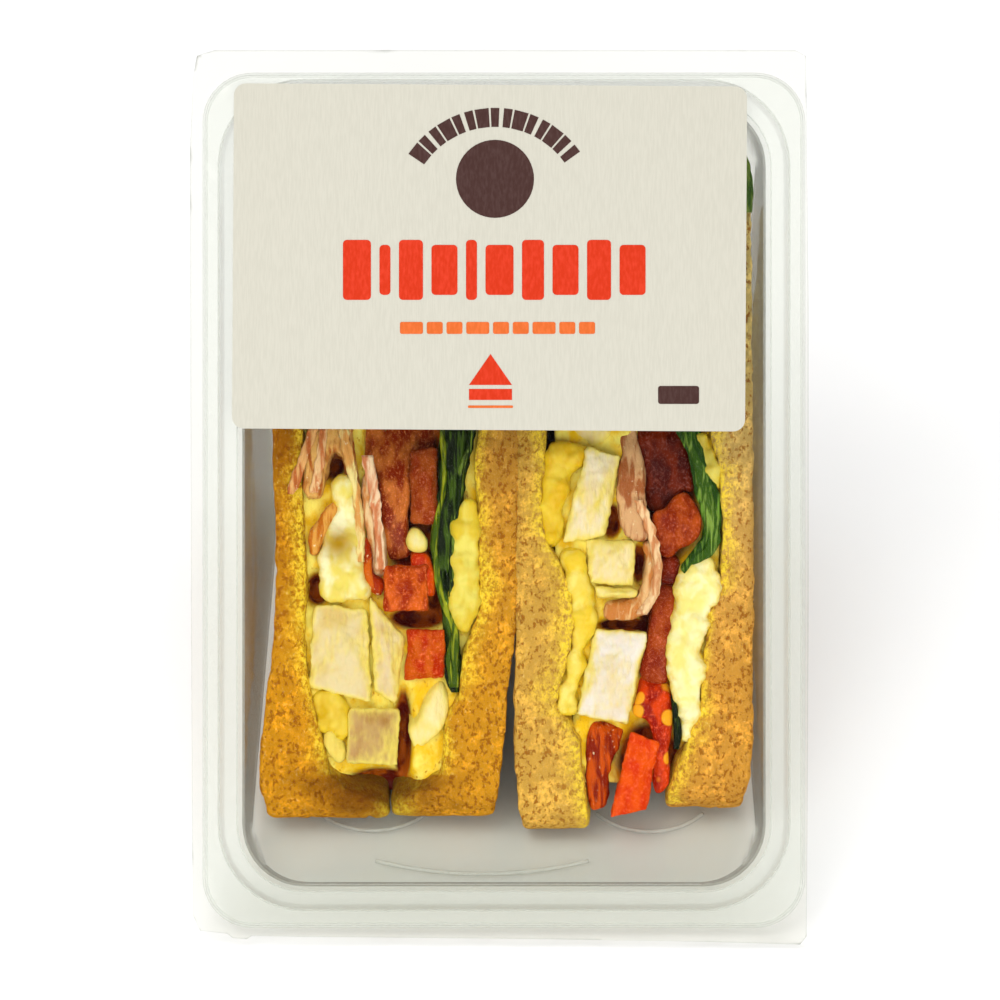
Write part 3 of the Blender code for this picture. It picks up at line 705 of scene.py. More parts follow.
brown = bmesh.new()
for mark in range(ARC_MARKS):
    angle = math.radians(ARC_FROM - ARC_SPAN * mark / (ARC_MARKS - 1))
    width = 0.8 if mark % 3 else 1.3
    corners = []
    for outwards, sideways in ((-1, -1), (-1, 1), (1, 1), (1, -1)):
        reach = ARC_RADIUS + outwards * MARK_HALF_HEIGHT
        turn = angle - sideways * width / ARC_RADIUS
        corners.append((ARC_CENTRE[0] + reach * math.cos(turn), ARC_CENTRE[1] + reach * math.sin(turn)))
    add_shape(brown, corners)
disc = []
for step in range(DISC_STEPS):
    angle = math.tau * step / DISC_STEPS
    across, up = DISC_RADIUS * math.cos(angle), DISC_RADIUS * math.sin(angle)
    disc.append((DISC_CENTRE[0] + across, DISC_CENTRE[1] + up))
add_shape(brown, disc)
add_bar(brown, 30.8, 39.0, 19.2, 22.8)
finish_print("print_brown", brown, ink("ink_brown", seen(60, 36, 32)))
print("marks on the arc:", ARC_MARKS)

# %% [markdown]
# A row of blocks and a small stack in red
# Ten blocks of uneven width make the label's main row. A stack below it is a bar and a triangle.
# Their widths are a short list, because an even row would look like a fence.

# %% Print the red shapes
BLOCK_WIDTHS = (5.6, 2.2, 4.8, 5.2, 2.2, 5.6, 4.4, 5.2, 4.8, 5.2)
ROW_LEFT, ROW_LOW, ROW_HIGH = -32.2, 40.0, 52.0
ROW_GAP = 1.7

red = bmesh.new()
place = ROW_LEFT
for index, width in enumerate(BLOCK_WIDTHS):
    rise = 1.0 if index % 2 else 0.0
    add_bar(red, place, place + width, ROW_LOW + rise, ROW_HIGH - rise, 0.8)
    place += width + ROW_GAP
add_shape(red, [(-7.0, 20.0), (1.6, 20.0), (1.6, 22.2), (-7.0, 22.2)])
add_shape(red, [(-7.0, 23.0), (1.6, 23.0), (-2.7, 29.2)])
finish_print("print_red", red, ink("ink_red", seen(186, 42, 6)))
print("blocks in the row:", len(BLOCK_WIDTHS))

# %% [markdown]
# A row of dashes and a thin line in orange
# Nine short dashes stand below the blocks, and a thin line closes the stack. They are the same
# round bars as before, only smaller.

# %% Print the orange shapes
DASHES = 9
DASH_LEFT, DASH_LOW, DASH_HIGH = -20.8, 33.2, 35.6
DASH_GAP = 0.75

orange = bmesh.new()
place = DASH_LEFT
for index in range(DASHES):
    width = 3.2 if index % 3 else 4.6
    add_bar(orange, place, place + width, DASH_LOW, DASH_HIGH, 0.4)
    place += width + DASH_GAP
add_bar(orange, -7.2, 1.8, 18.4, 18.9, 0.2)
finish_print("print_orange", orange, ink("ink_orange", seen(196, 92, 36)))
print("dashes:", DASHES)


# %% [markdown]
# Turning a plain solid into food
# The CAD solids have the right outline but sharp, smooth faces. Sculpting each by hand would
# take days and never come out the same twice. So a copy is remeshed into small even faces,
# smoothed so that its edges soften, and then its points move in and out a little. The copy's
# loose triangles are merged first, because the remesh needs a closed skin.

# %% Copy a node and give it a soft, uneven skin
def copy_of(name):
    """A merged copy of a CAD node's mesh, in the pack's own millimetres."""
    bm = bmesh.new()
    bm.from_mesh(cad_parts[name].data)
    bmesh.ops.remove_doubles(bm, verts=bm.verts, dist=0.00001)
    bmesh.ops.transform(bm, matrix=ROOM_TO_PACK, verts=bm.verts)
    return bm


def soft_skin(name, bm, voxel, smoothing, move):
    """Remesh a closed mesh, smooth it and move its points by what move says.

    move gets a point and its normal, in pack millimetres, and returns the step to take.
    """
    bmesh.ops.transform(bm, matrix=PACK, verts=bm.verts)
    mesh = bpy.data.meshes.new(name + "_skin")
    bm.to_mesh(mesh)
    bm.free()
    piece = bpy.data.objects.new(name + "_skin", mesh)
    bpy.context.scene.collection.objects.link(piece)
    remesh = piece.modifiers.new("even", "REMESH")
    remesh.mode = "VOXEL"
    remesh.voxel_size = voxel * MM
    bake_modifiers(piece)
    bm = bmesh.new()
    bm.from_mesh(piece.data)
    for _ in range(smoothing):
        bmesh.ops.smooth_vert(bm, verts=bm.verts, factor=0.5,
                              use_axis_x=True, use_axis_y=True, use_axis_z=True)
    bmesh.ops.transform(bm, matrix=ROOM_TO_PACK, verts=bm.verts)
    bm.normal_update()
    steps = [(vert, move(vert.co, vert.normal)) for vert in bm.verts]
    for vert, step in steps:
        vert.co += step
    bpy.data.objects.remove(piece)
    return bm


def lumps(point, size, seed):
    """Smooth noise from -1 to 1 with lumps of the given size in millimetres."""
    return noise.noise(Vector((point.x / size, point.y / size, point.z / size + seed)))


bm = copy_of("bread_1_left")
print("corners of one plain slice:", len(bm.verts))
bm.free()


# %% [markdown]
# The bread
# Sliced bread has an open crumb where the knife went through, with pits drawn out along the
# loaf's rise, a thin brown crust on its outer edges, and a stained, wetter band where dressing
# has soaked in. Real holes in the mesh would need millions of faces, so the crumb's colour and
# pits are patterns, with painted shade in the pits and the low grain and a painted highlight on
# the raised grain. The crust, the soaked band and a dark patch of painted shade around the deep
# hollow at the foot are painted on the points as three values, because they follow the slice's
# own shape.

# %% Mix the crumb's colours
TONE_SPAN = (-45.0, 45.0)
BROWNER_FOOT, BROWNER_TOP = 0.8, 0.76
SAUCE_YELLOW = seen(252, 218, 56)
# The next two colours are a painted highlight on the raised crumb and painted shade in its pits.
CRUMB_HIGHLIGHT = seen(255, 224, 140)
PIT_SHADE_BROWN = seen(150, 82, 16)
CRUST_TONES = (seen(206, 112, 22), seen(236, 156, 46))
# Painted shade around the deep hollow at the foot of the slices.
FOOT_SHADE_BROWN = seen(92, 44, 4)


def crumb_finish(name, foot, top):
    """Open crumb that goes from one tone at the slice's foot to another at its top."""
    finish = Finish("crumb_" + name, roughness=0.85, specular=0.04)
    split = finish.node("ShaderNodeSeparateXYZ")
    finish.join(finish.places(), split.inputs["Vector"])
    height = finish.between(split.outputs["Y"], *TONE_SPAN)
    browner = finish.blend(height, seen(*(value * BROWNER_FOOT for value in foot)),
                           seen(*(value * BROWNER_TOP for value in top)))
    tone = finish.clouds((6, 10, 6), detail=2.0)
    mottle = finish.clouds((2.4, 3.2, 2.4), detail=3.0, roughness=0.6)
    grain = finish.clouds((0.75, 1.0, 0.75), detail=3.0, roughness=0.7)
    pits = finish.clouds((0.9, 1.25, 0.9), detail=3.0, roughness=0.65, distortion=0.1)
    holes = finish.between(pits, 0.485, 0.36)
    wet = finish.painted("soaked")

    colour = finish.blend(height, seen(*foot), seen(*top))
    colour = finish.blend(finish.between(tone, 0.35, 0.75), colour, browner)
    colour = finish.blend(finish.between(mottle, 0.66, 0.38), colour, browner)
    patchy = finish.sum(finish.sum(wet, mottle, 1.1), grain, 0.5)
    soak = finish.product(finish.between(patchy, 0.8, 1.9), finish.between(wet, -0.5, 1.0))
    colour = finish.blend(soak, colour, SAUCE_YELLOW)
    # Painted shade and highlight that follow the relief: browner where the grain is low, lighter where it is
    # raised, and darker still in the pits.
    colour = finish.blend(finish.between(grain, 0.58, 0.34), colour, browner)
    colour = finish.blend(finish.between(grain, 0.55, 1.0), colour, CRUMB_HIGHLIGHT)
    colour = finish.blend(finish.product(holes, finish.spread(wet, 0.8, 0.3)), colour, PIT_SHADE_BROWN)
    crust_tone = finish.blend(finish.between(tone, 0.35, 0.65), *CRUST_TONES)
    colour = finish.blend(finish.painted("crust"), colour, crust_tone)
    # Painted shade darkens the crumb around the deep hollow at the foot.
    finish.colour(finish.blend(finish.painted("stain_and_shade"), colour, FOOT_SHADE_BROWN))
    finish.relief(finish.sum(grain, holes, -0.7), 0.45, 0.55)
    finish.rough(wet, 0.85, 0.45)
    return finish.material


print("height over which the crumb changes its tone, in mm:", TONE_SPAN[1] - TONE_SPAN[0])

# %% [markdown]
# Baking the slices
# The knife's front, the crust and the wet inner edge of a slice can all be found by measuring:
# how deep a point lies behind the cut, how far it is from the loaf's outside, and how far from
# the fillings. Painting them by hand in the editor would give the same values, only slower.

# %% Bake the four slices
CRUMB_VOXEL = 0.65
FRONT_DEPTH = 3.0
LEVEL_HEIGHT = 3
CRUST_WIDTH = 1.4
PRESSED_FROM, PRESSED_RISE = -36, 20
# Where the painted shade at the foot lies, and how dark it gets.
FOOT_SHADE_CENTRE = (-26.0, -57.6)
FOOT_SHADE_REACH = (14.5, 6.4)
FOOT_SHADE_STRENGTH = 0.9
SLICES = {
    "bread_1_left": {"seed": 3.0, "inner": 1, "wet": 5.5, "pressed": 0.0,
                     "top": (184, 100, 2), "foot": (250, 170, 28)},
    "bread_1_right": {"seed": 11.0, "inner": -1, "wet": 4.5, "pressed": 0.9,
                      "top": (232, 170, 76), "foot": (255, 176, 36)},
    "bread_2_left": {"seed": 23.0, "inner": 1, "wet": 6.0, "pressed": 0.9,
                     "top": (248, 192, 76), "foot": (255, 196, 86)},
    "bread_2_right": {"seed": 37.0, "inner": -1, "wet": 5.0, "pressed": 0.0,
                      "top": (255, 222, 138), "foot": (252, 178, 68)},
}


def oval_distance(u, v, centre, reach):
    """Squared distance from an oval's centre, so that its edge lies at 1."""
    return ((u - centre[0]) / reach[0]) ** 2 + ((v - centre[1]) / reach[1]) ** 2


def inner_edges(bm, inner):
    """How far the front of a slice reaches towards the fillings, height by height."""
    edges = {}
    for vert in bm.verts:
        if CUT_FACE - vert.co.z < FRONT_DEPTH:
            level = round(vert.co.y / LEVEL_HEIGHT)
            edges[level] = max(edges.get(level, -999), inner * vert.co.x)
    return edges


def make_slice(name, data):
    """One slice with an uneven skin, its painted crust and soaked band, and painted shade at the foot."""
    seed = data["seed"]
    inner = data["inner"]

    def move(point, normal):
        """The step that a point of the crumb takes along its normal."""
        rough = lumps(point, 8.0, seed) * 0.35 + lumps(point, 2.6, seed) * 0.28
        drawn_out = Vector((point.x, point.y * 0.55, point.z))
        pitted = min(lumps(drawn_out, 1.5, seed) + 0.2, 0.0) * 1.0
        pressed = 0.0
        if data["pressed"] and normal.x * inner < -0.5:
            pressed = data["pressed"] * min(max((point.y - PRESSED_FROM) / PRESSED_RISE, 0.0), 1.0)
        return normal * (rough + pitted + pressed)

    bm = soft_skin(name, copy_of(name), CRUMB_VOXEL, 1, move)
    soaked = bm.verts.layers.float.new("soaked")
    crust = bm.verts.layers.float.new("crust")
    stain_and_shade = bm.verts.layers.float.new("stain_and_shade")
    edges = inner_edges(bm, inner)
    for vert in bm.verts:
        u, v, w = vert.co
        from_leg = (CORNER_DEPTH - (CUT_FACE - w) - abs(v - FACE_MIDDLE)) * math.sqrt(0.5)
        vert[crust] = max(0.0, min(1.0, 1.2 - from_leg / CRUST_WIDTH + lumps(vert.co, 6.0, seed) * 0.4))
        gap = edges.get(round(v / LEVEL_HEIGHT), 0.0) - inner * u
        spread = data["wet"] * (1 + 0.8 * lumps(vert.co, 12.0, seed + 5) + 0.5 * lumps(vert.co, 4.0, seed))
        vert[soaked] = max(0.0, min(1.0, 1 - gap / max(spread, 0.1)))
        # Painted shade: a dark patch around the deep hollow at the foot, ragged at its edge.
        away = oval_distance(u, v, FOOT_SHADE_CENTRE, FOOT_SHADE_REACH)
        ragged = away * (1 + 0.6 * lumps(vert.co, 4.0, seed))
        vert[stain_and_shade] = FOOT_SHADE_STRENGTH * math.exp(-(ragged ** 1.5))
    crumb = crumb_finish(name, data["foot"], data["top"])
    make_piece(name + "_crumb", bm, crumb, "bread_crumb", [name])


for slice_name, slice_data in SLICES.items():
    make_slice(slice_name, slice_data)
print("slices:", len(SLICES))


# %% [markdown]
# Finishes for the fillings
# Each kind of filling has one recipe: two tones mixed by soft noise, a relief at the size of its
# own grain, and a wet or dry gloss. The tones differ from piece to piece, as they do in food.
# Cooked breast is smooth and pale with faint fibres, and the dressing stains its edges yellow;
# that yellow is partly painted shade on facets that turn away from the cut. Light goes a little
# way into it, so the shader scatters some of it below the surface.

# %% Write the finish of cooked chicken
def chicken_finish(name, pale, deep):
    """Two pale tones, faint fibres and a yellow rim, partly dressing stain and partly painted facet shade."""
    finish = Finish(name, roughness=0.4, specular=0.1, Subsurface_Weight=0.12, Subsurface_Scale=0.003)
    stain_and_shade = finish.clouds((5, 7, 5), detail=2.0)
    fibre = finish.clouds((0.9, 2.6, 2.0), detail=3.0)
    colour = finish.blend(finish.between(stain_and_shade, 0.4, 0.68), pale, deep)
    # Yellow on the rim and on turned facets: partly dressing stain, partly painted shade.
    stain_and_facet_shade = finish.between(finish.sum(finish.painted("rim"), fibre, 0.6), 0.5, 1.15)
    finish.colour(finish.blend(stain_and_facet_shade, colour, seen(246, 224, 110)))
    finish.relief(finish.sum(fibre, stain_and_shade, 1.2), 0.6, 0.6)
    finish.rough(fibre, 0.28, 0.6)
    return finish.material


print("finish:", chicken_finish.__name__)

# %% [markdown]
# Bacon
# Cooked bacon is pink-brown meat with pale bands of fat along its length and a greasy shine.
# A wave pattern would draw the bands too straight, so they are noise that is drawn out upwards.

# %% Write the finish of bacon
def bacon_finish(name, pale, deep):
    """Meat in the deep tone, bands of fat in the pale one, and a fine light grain."""
    finish = Finish(name, roughness=0.35, specular=0.08, Subsurface_Weight=0.08, Subsurface_Scale=0.002)
    bands = finish.clouds((1.3, 6.0, 3.0), detail=3.0, distortion=0.5)
    grain = finish.clouds((0.7, 1.1, 0.8), detail=3.0, roughness=0.65)
    colour = finish.blend(finish.between(bands, 0.4, 0.58), deep, pale)
    finish.colour(finish.blend(finish.between(grain, 0.62, 0.74), colour, seen(250, 226, 180)))
    finish.relief(finish.sum(bands, grain, 0.8), 0.6, 0.7)
    finish.rough(grain, 0.2, 0.5)
    return finish.material


print("finish:", bacon_finish.__name__)

# %% [markdown]
# Tomato
# Wet tomato flesh is deep red inside and lighter towards its edges, with pale specks that are
# painted glints where light catches it, and one piece shows seeds in their jelly. Modelled seeds
# would be smaller than the mesh's own faces, so they are round cells in the pattern.

# %% Write the finish of tomato
def tomato_finish(name, pale, deep, seeds=None):
    """Two reds with specks of painted glint, a lighter rim and, where a colour is given for them, seeds."""
    finish = Finish(name, roughness=0.18, specular=0.08, Subsurface_Weight=0.12, Subsurface_Scale=0.003)
    patches = finish.clouds((2.6, 5.0, 3.0), detail=3.0)
    glint_speck = finish.clouds((0.5, 0.7, 0.5), detail=2.0, roughness=0.6)
    colour = finish.blend(finish.between(patches, 0.38, 0.64), deep, pale)
    # Painted glints: pale specks where light catches the wet flesh.
    lighter = tuple(min(value * 1.5 + 0.05, 1.0) for value in pale[:3]) + (1.0,)
    colour = finish.blend(finish.between(glint_speck, 0.5, 0.85), colour, lighter)
    colour = finish.blend(finish.between(finish.painted("rim"), 0.7, 1.1), colour, pale)
    if seeds:
        drops = finish.between(finish.cells((4.2, 4.6, 4.2), 0.9), 0.4, 0.3)
        colour = finish.blend(drops, colour, seeds)
    finish.colour(colour)
    finish.relief(finish.sum(patches, glint_speck, 0.35), 0.5, 0.45)
    finish.rough(glint_speck, 0.1, 0.4)
    return finish.material


print("finish:", tomato_finish.__name__)

# %% [markdown]
# Dressing
# Thick creamy dressing is smooth and softly lit from inside, and it is thinner and deeper in
# tone where it smears out at its rim. One smear has an olive patch, painted on the points.

# %% Write the finish of dressing
def dressing_finish(name, pale, deep):
    """Soft swirls of two creams, deeper at the rim, with the painted olive patch."""
    finish = Finish(name, roughness=0.28, Subsurface_Weight=0.15, Subsurface_Scale=0.003)
    swirl = finish.clouds((3.5, 6.0, 3.5), detail=2.0, distortion=0.4)
    fleck = finish.clouds((0.9, 1.2, 0.9), detail=2.0)
    colour = finish.blend(finish.between(swirl, 0.35, 0.66), pale, deep)
    thin = finish.between(finish.sum(finish.painted("rim"), fleck, 0.6), 0.75, 1.35)
    colour = finish.blend(thin, colour, seen(242, 206, 40))
    finish.colour(finish.blend(finish.painted("olive"), colour, seen(176, 134, 10)))
    finish.relief(finish.sum(swirl, fleck, 0.3), 0.9, 0.5)
    finish.rough(swirl, 0.15, 0.4)
    return finish.material


print("finish:", dressing_finish.__name__)

# %% [markdown]
# Lettuce
# A lettuce leaf is a dark blade with lighter ribs that run along it, and small blisters that
# catch the light, with their light flecks painted as highlights. The ribs could follow a drawn
# vein map, but noise drawn out along the leaf reads the same at this size.

# %% Write the finish of lettuce
def leaf_finish(name, pale, deep):
    """A dark blade with lighter ribs and a few blisters with painted highlights."""
    finish = Finish(name, roughness=0.3)
    ribs = finish.clouds((0.9, 7.0, 5.0), detail=2.0, distortion=1.0)
    blister_glint = finish.clouds((1.5, 2.2, 1.5), detail=2.0)
    colour = finish.blend(finish.between(ribs, 0.45, 0.7), deep, pale)
    # Painted highlights: light flecks on the blisters.
    light = tuple(min(value * 1.8 + 0.03, 1.0) for value in pale[:3]) + (1.0,)
    finish.colour(finish.blend(finish.between(blister_glint, 0.68, 0.8), colour, light))
    finish.relief(finish.sum(ribs, blister_glint, 0.9), 0.7, 0.7)
    finish.rough(blister_glint, 0.15, 0.45)
    return finish.material


print("finish:", leaf_finish.__name__)


# %% [markdown]
# The fillings, piece by piece
# The pieces keep the places and outlines of the CAD solids. Each swells by about the gap that
# the CAD model leaves between neighbours, so that they touch as packed food does. One tone for
# each kind would look like plastic food, so every piece has its own pale and deep tone.

# %% Give every piece its tones and every kind its recipe
FLESH_VOXEL = 0.5
FLESH = {
    "chicken_1a": ((230, 210, 162), (220, 190, 120)),
    "chicken_1b": ((226, 202, 164), (206, 166, 104)),
    "chicken_1c": ((194, 154, 98), (170, 122, 58)),
    "chicken_1d": ((238, 208, 104), (222, 180, 60)),
    "chicken_1e": ((250, 230, 170), (240, 204, 104)),
    "chicken_1f": ((240, 218, 160), (226, 190, 110)),
    "chicken_1g": ((230, 208, 150), (210, 170, 100)),
    "chicken_1h": ((238, 226, 166), (226, 206, 120)),
    "chicken_2a": ((240, 226, 196), (232, 210, 162)),
    "chicken_2b": ((240, 220, 176), (230, 202, 144)),
    "chicken_2c": ((242, 224, 178), (232, 202, 136)),
    "chicken_2d": ((239, 229, 220), (234, 216, 190)),
    "chicken_2e": ((240, 220, 170), (224, 184, 110)),
    "chicken_2f": ((230, 208, 150), (210, 170, 100)),
    "bacon_1a": ((232, 178, 98), (178, 92, 28)),
    "bacon_1b": ((226, 160, 70), (196, 108, 24)),
    "bacon_1c": ((236, 200, 150), (206, 132, 66)),
    "bacon_1d": ((212, 100, 14), (166, 44, 0)),
    "bacon_2a": ((222, 172, 122), (168, 96, 52)),
    "bacon_2b": ((238, 190, 132), (206, 128, 62)),
    "bacon_2c": ((208, 82, 4), (136, 30, 0)),
    "tomato_1a": ((204, 114, 46), (136, 38, 4)),
    "tomato_1b": ((170, 80, 28), (140, 48, 8)),
    "tomato_1c": ((232, 92, 2), (196, 44, 0)),
    "tomato_1d": ((222, 98, 24), (160, 42, 0)),
    "tomato_1e": ((212, 92, 14), (190, 44, 0)),
    "tomato_1f": ((176, 60, 16), (120, 20, 2)),
    "tomato_1g": ((176, 60, 16), (120, 20, 2)),
    "tomato_2a": ((114, 32, 2), (70, 8, 0)),
    "tomato_2b": ((178, 72, 14), (130, 32, 0)),
    "tomato_2c": ((170, 70, 22), (134, 34, 2)),
    "tomato_2d": ((236, 84, 2), (218, 52, 0)),
    "tomato_2e": ((226, 66, 0), (150, 16, 0)),
    "tomato_2f": ((130, 36, 4), (90, 12, 0)),
    "tomato_2g": ((160, 50, 10), (110, 18, 0)),
    "tomato_2h": ((160, 50, 10), (110, 18, 0)),
    "dressing_1a": ((252, 246, 200), (236, 216, 104)),
    "dressing_1b": ((236, 220, 104), (226, 196, 56)),
    "dressing_1c": ((238, 208, 80), (218, 176, 20)),
    "dressing_2a": ((240, 208, 66), (226, 180, 20)),
    "dressing_2b": ((222, 208, 104), (200, 176, 60)),
    "dressing_2c": ((253, 246, 196), (246, 231, 136)),
    "dressing_2d": ((250, 228, 118), (240, 204, 52)),
}
RECIPES = {
    "chicken": {"finish": chicken_finish, "swell": 0.3, "wobble": 0.22, "cuts": 3, "slope": 0.45,
                "recess": 0.6, "smoothing": 1},
    "bacon": {"finish": bacon_finish, "swell": 0.3, "wobble": 0.5, "cuts": 1, "slope": 0.3,
              "recess": 0.6, "smoothing": 1},
    "tomato": {"finish": tomato_finish, "swell": 0.35, "wobble": 0.18, "cuts": 2, "slope": 0.35,
               "recess": 0.7, "smoothing": 1},
    "dressing": {"finish": dressing_finish, "swell": 0.9, "wobble": 1.2, "cuts": 0, "slope": 0.0,
                 "recess": 1.0, "smoothing": 2},
}
SEEDY = {"tomato_2e": seen(250, 168, 30)}
print("pieces with tones of their own:", len(FLESH))

# %% [markdown]
# What the knife did
# A knife leaves flat facets on diced food. A boolean cut would do it in the editor, but it can
# fail on uneven meshes. So the front points of most pieces are moved back behind a few slanting
# planes, and the clearest chunks are made anew as blocks from their four front corners, each a
# little nearer or further, with a low peak in the middle that breaks the front into facets.

# %% Cut facets across the pieces and make the clearest chunks anew
CUT_REACH = 5.0
FRONT_BAND = 1.5
CHUNK_TILT = 2.6
CHUNK_PEAK = 0.6
CHUNK_TAPER = 0.12
CHUNK_WOBBLE = 0.45
CHUNK_DEPTH = 9.0
CHUNKS = {
    "chicken_1a": [(-38.4, -21.0), (-27.6, -22.0), (-26.6, -41.0), (-39.6, -37.6)],
    "chicken_1b": [(-27.2, -19.2), (-20.2, -27.6), (-21.6, -41.9), (-26.2, -38.4)],
    "chicken_1c": [(-31.4, -42.2), (-21.0, -42.0), (-21.4, -53.8), (-31.8, -53.0)],
    "chicken_2a": [(16.8, 10.8), (23.6, 9.0), (20.4, -7.2), (11.6, -8.8)],
    "chicken_2b": [(16.4, -7.9), (26.4, -8.1), (26.3, -17.4), (17.2, -16.8)],
    "chicken_2c": [(18.2, -17.4), (27.2, -18.0), (27.0, -19.9), (18.8, -19.8)],
    "chicken_2d": [(18.4, -25.8), (29.0, -26.6), (25.0, -45.4), (14.4, -43.2)],
    "tomato_1b": [(-18.9, 10.2), (-13.4, 10.7), (-13.4, -5.0), (-18.9, -4.8)],
    "tomato_1d": [(-24.2, -13.4), (-15.4, -13.0), (-15.2, -22.4), (-24.2, -22.6)],
    "tomato_1e": [(-19.6, -26.2), (-11.8, -26.0), (-12.0, -36.0), (-20.2, -36.4)],
    "tomato_2d": [(25.6, -46.6), (31.4, -48.8), (28.8, -62.6), (21.4, -64.0)],
}


def slanting_cuts(name, recipe, seed):
    """How far the knife took the front of a piece back at a point, as a function."""
    chance = random.Random(seed)
    bm = copy_of(name)
    foremost = max(vert.co.z for vert in bm.verts)
    front = [vert.co.copy() for vert in bm.verts if vert.co.z > foremost - FRONT_BAND]
    bm.free()
    centre = sum(front, Vector()) / len(front)
    planes = []
    start = chance.uniform(0, math.tau)
    for index in range(recipe["cuts"]):
        angle = start + math.tau * index / recipe["cuts"] + chance.uniform(-0.5, 0.5)
        direction = Vector((math.cos(angle), math.sin(angle), 0))
        reach = max((point - centre).dot(direction) for point in front)
        planes.append((direction, reach * chance.uniform(-0.1, 0.45)))
    recess = chance.uniform(0, recipe["recess"])

    def drop(point):
        """How far one point moves back."""
        nearness = min(max(1 - (foremost - point.z) / CUT_REACH, 0.0), 1.0)
        cut = max([0.0] + [(point - centre).dot(way) - begin for way, begin in planes]) * recipe["slope"]
        return (cut + recess) * nearness

    return drop


def knife_cut(corners, seed):
    """A block with four given front corners, each a little nearer or further, and a smaller back."""
    chance = random.Random(seed)
    centre = sum((Vector(corner) for corner in corners), Vector((0, 0))) / len(corners)
    order = {(False, True): 0, (True, True): 1, (True, False): 2, (False, False): 3}
    bm = bmesh.new()
    bmesh.ops.create_cube(bm, size=1.0)
    front = max(bm.faces, key=lambda face: face.calc_center_median().z)
    peak = bmesh.ops.poke(bm, faces=[front])["verts"][0]
    shift = [chance.uniform(-0.25, 0.25) for _ in range(2)]
    half = (Vector(corners[1]) - Vector(corners[3])).length / 2
    top = (centre.x + shift[0] * half, centre.y + shift[1] * half)
    for vert in sorted(bm.verts, key=lambda vert: tuple(vert.co)):
        if vert == peak:
            vert.co = (*top, CUT_FACE + CHUNK_TILT * CHUNK_PEAK)
            continue
        corner = Vector(corners[order[(vert.co.x > 0, vert.co.y > 0)]])
        if vert.co.z > 0:
            vert.co = (corner.x, corner.y, CUT_FACE + chance.uniform(-CHUNK_TILT, CHUNK_TILT * 0.4))
        else:
            corner = corner.lerp(centre, CHUNK_TAPER)
            vert.co = (corner.x, corner.y, CUT_FACE - CHUNK_DEPTH)
    return bm


print("chunks made anew:", len(CHUNKS))

# %% [markdown]
# Laying the fillings in
# Dressing spreads over a piece's edges, and one smear has an olive patch. Both are values painted
# on the points: the rim value is high where the skin turns away from the cut, and a few rounds
# of averaging let it spread inwards. The finishes read them and change their tones there, and
# on chicken the rim's yellow is partly painted shade on facets that turn away.

# %% Lay in every piece
RIM_CREEP = 4
OLIVE_CENTRE = (-33.4, -8.8)
OLIVE_REACH = (3.4, 3.2)
SEED_STEP = 7.3


def paint_rim(bm, rounds):
    """Paint 1 where a piece turns away from its cut face, and let the paint spread inwards; on chicken it
    also carries painted facet shade.
    """
    rim = bm.verts.layers.float.new("rim")
    for vert in bm.verts:
        vert[rim] = math.sqrt(1.0 - max(vert.normal.z, 0.0) ** 2)
    for _ in range(rounds):
        spread = [sum(edge.other_vert(vert)[rim] for edge in vert.link_edges) / len(vert.link_edges)
                  for vert in bm.verts]
        for vert, value in zip(bm.verts, spread):
            vert[rim] = value


def make_flesh(name, pale, deep, seed):
    """One piece of filling, from its CAD solid or from its four front corners."""
    kind = name.split("_")[0]
    recipe = RECIPES[kind]
    extra = [SEEDY[name]] if name in SEEDY else []
    material = recipe["finish"](name + "_flesh", seen(*pale), seen(*deep), *extra)
    if name in CHUNKS:
        start = knife_cut(CHUNKS[name], seed)
    else:
        start = copy_of(name)
        drop = slanting_cuts(name, recipe, seed)

    def move(point, normal):
        """The step that a point of the piece takes."""
        shift = lumps(point, 4.0, seed) + lumps(point, 1.5, seed) * 0.5
        if name in CHUNKS:
            return normal * (shift + lumps(point, 0.9, seed) * 0.5) * CHUNK_WOBBLE
        return normal * (recipe["swell"] + shift * recipe["wobble"]) + Vector((0, 0, -drop(point)))

    bm = soft_skin(name, start, FLESH_VOXEL, recipe["smoothing"], move)
    bm.normal_update()
    paint_rim(bm, RIM_CREEP)
    olive = bm.verts.layers.float.new("olive")
    for vert in bm.verts:
        vert[olive] = math.exp(-oval_distance(vert.co.x, vert.co.y, OLIVE_CENTRE, OLIVE_REACH))
    make_piece(name + "_piece", bm, material, kind, [name])


for order, (flesh_name, (pale_tone, deep_tone)) in enumerate(FLESH.items()):
    make_flesh(flesh_name, pale_tone, deep_tone, order * SEED_STEP)
print("pieces of filling:", len(FLESH))

# %% [markdown]
# The leaves
# A leaf is thin, so a remesh would tear it. The copy is subdivided instead, and both of its
# faces move together by the same wave, which keeps the leaf's thickness.

# %% Ripple the lettuce
WAVE_STRETCH = 2.3
LEAVES = {
    "lettuce_1a": ((150, 158, 28), (60, 84, 6)),
    "lettuce_1b": ((110, 134, 44), (20, 40, 4)),
    "lettuce_2a": ((130, 160, 66), (50, 84, 10)),
    "lettuce_2b": ((60, 84, 10), (8, 20, 2)),
}


def make_leaf(name, pale, deep, seed):
    """One leaf, cut finer and waved from side to side."""
    bm = copy_of(name)
    bmesh.ops.subdivide_edges(bm, edges=bm.edges, cuts=2, use_grid_fill=True)
    bmesh.ops.triangulate(bm, faces=bm.faces)
    bmesh.ops.subdivide_edges(bm, edges=bm.edges, cuts=1, use_grid_fill=True)
    for vert in bm.verts:
        depth = CUT_FACE - vert.co.z
        wave = math.sin(vert.co.y / WAVE_STRETCH + seed) * 0.25
        vert.co.x += wave + lumps(Vector((0, vert.co.y, depth)), 6.0, seed) * 0.6
    bmesh.ops.recalc_face_normals(bm, faces=bm.faces)
    green = leaf_finish(name + "_blade", seen(*pale), seen(*deep))
    make_piece(name + "_leaf", bm, green, "lettuce", [name])


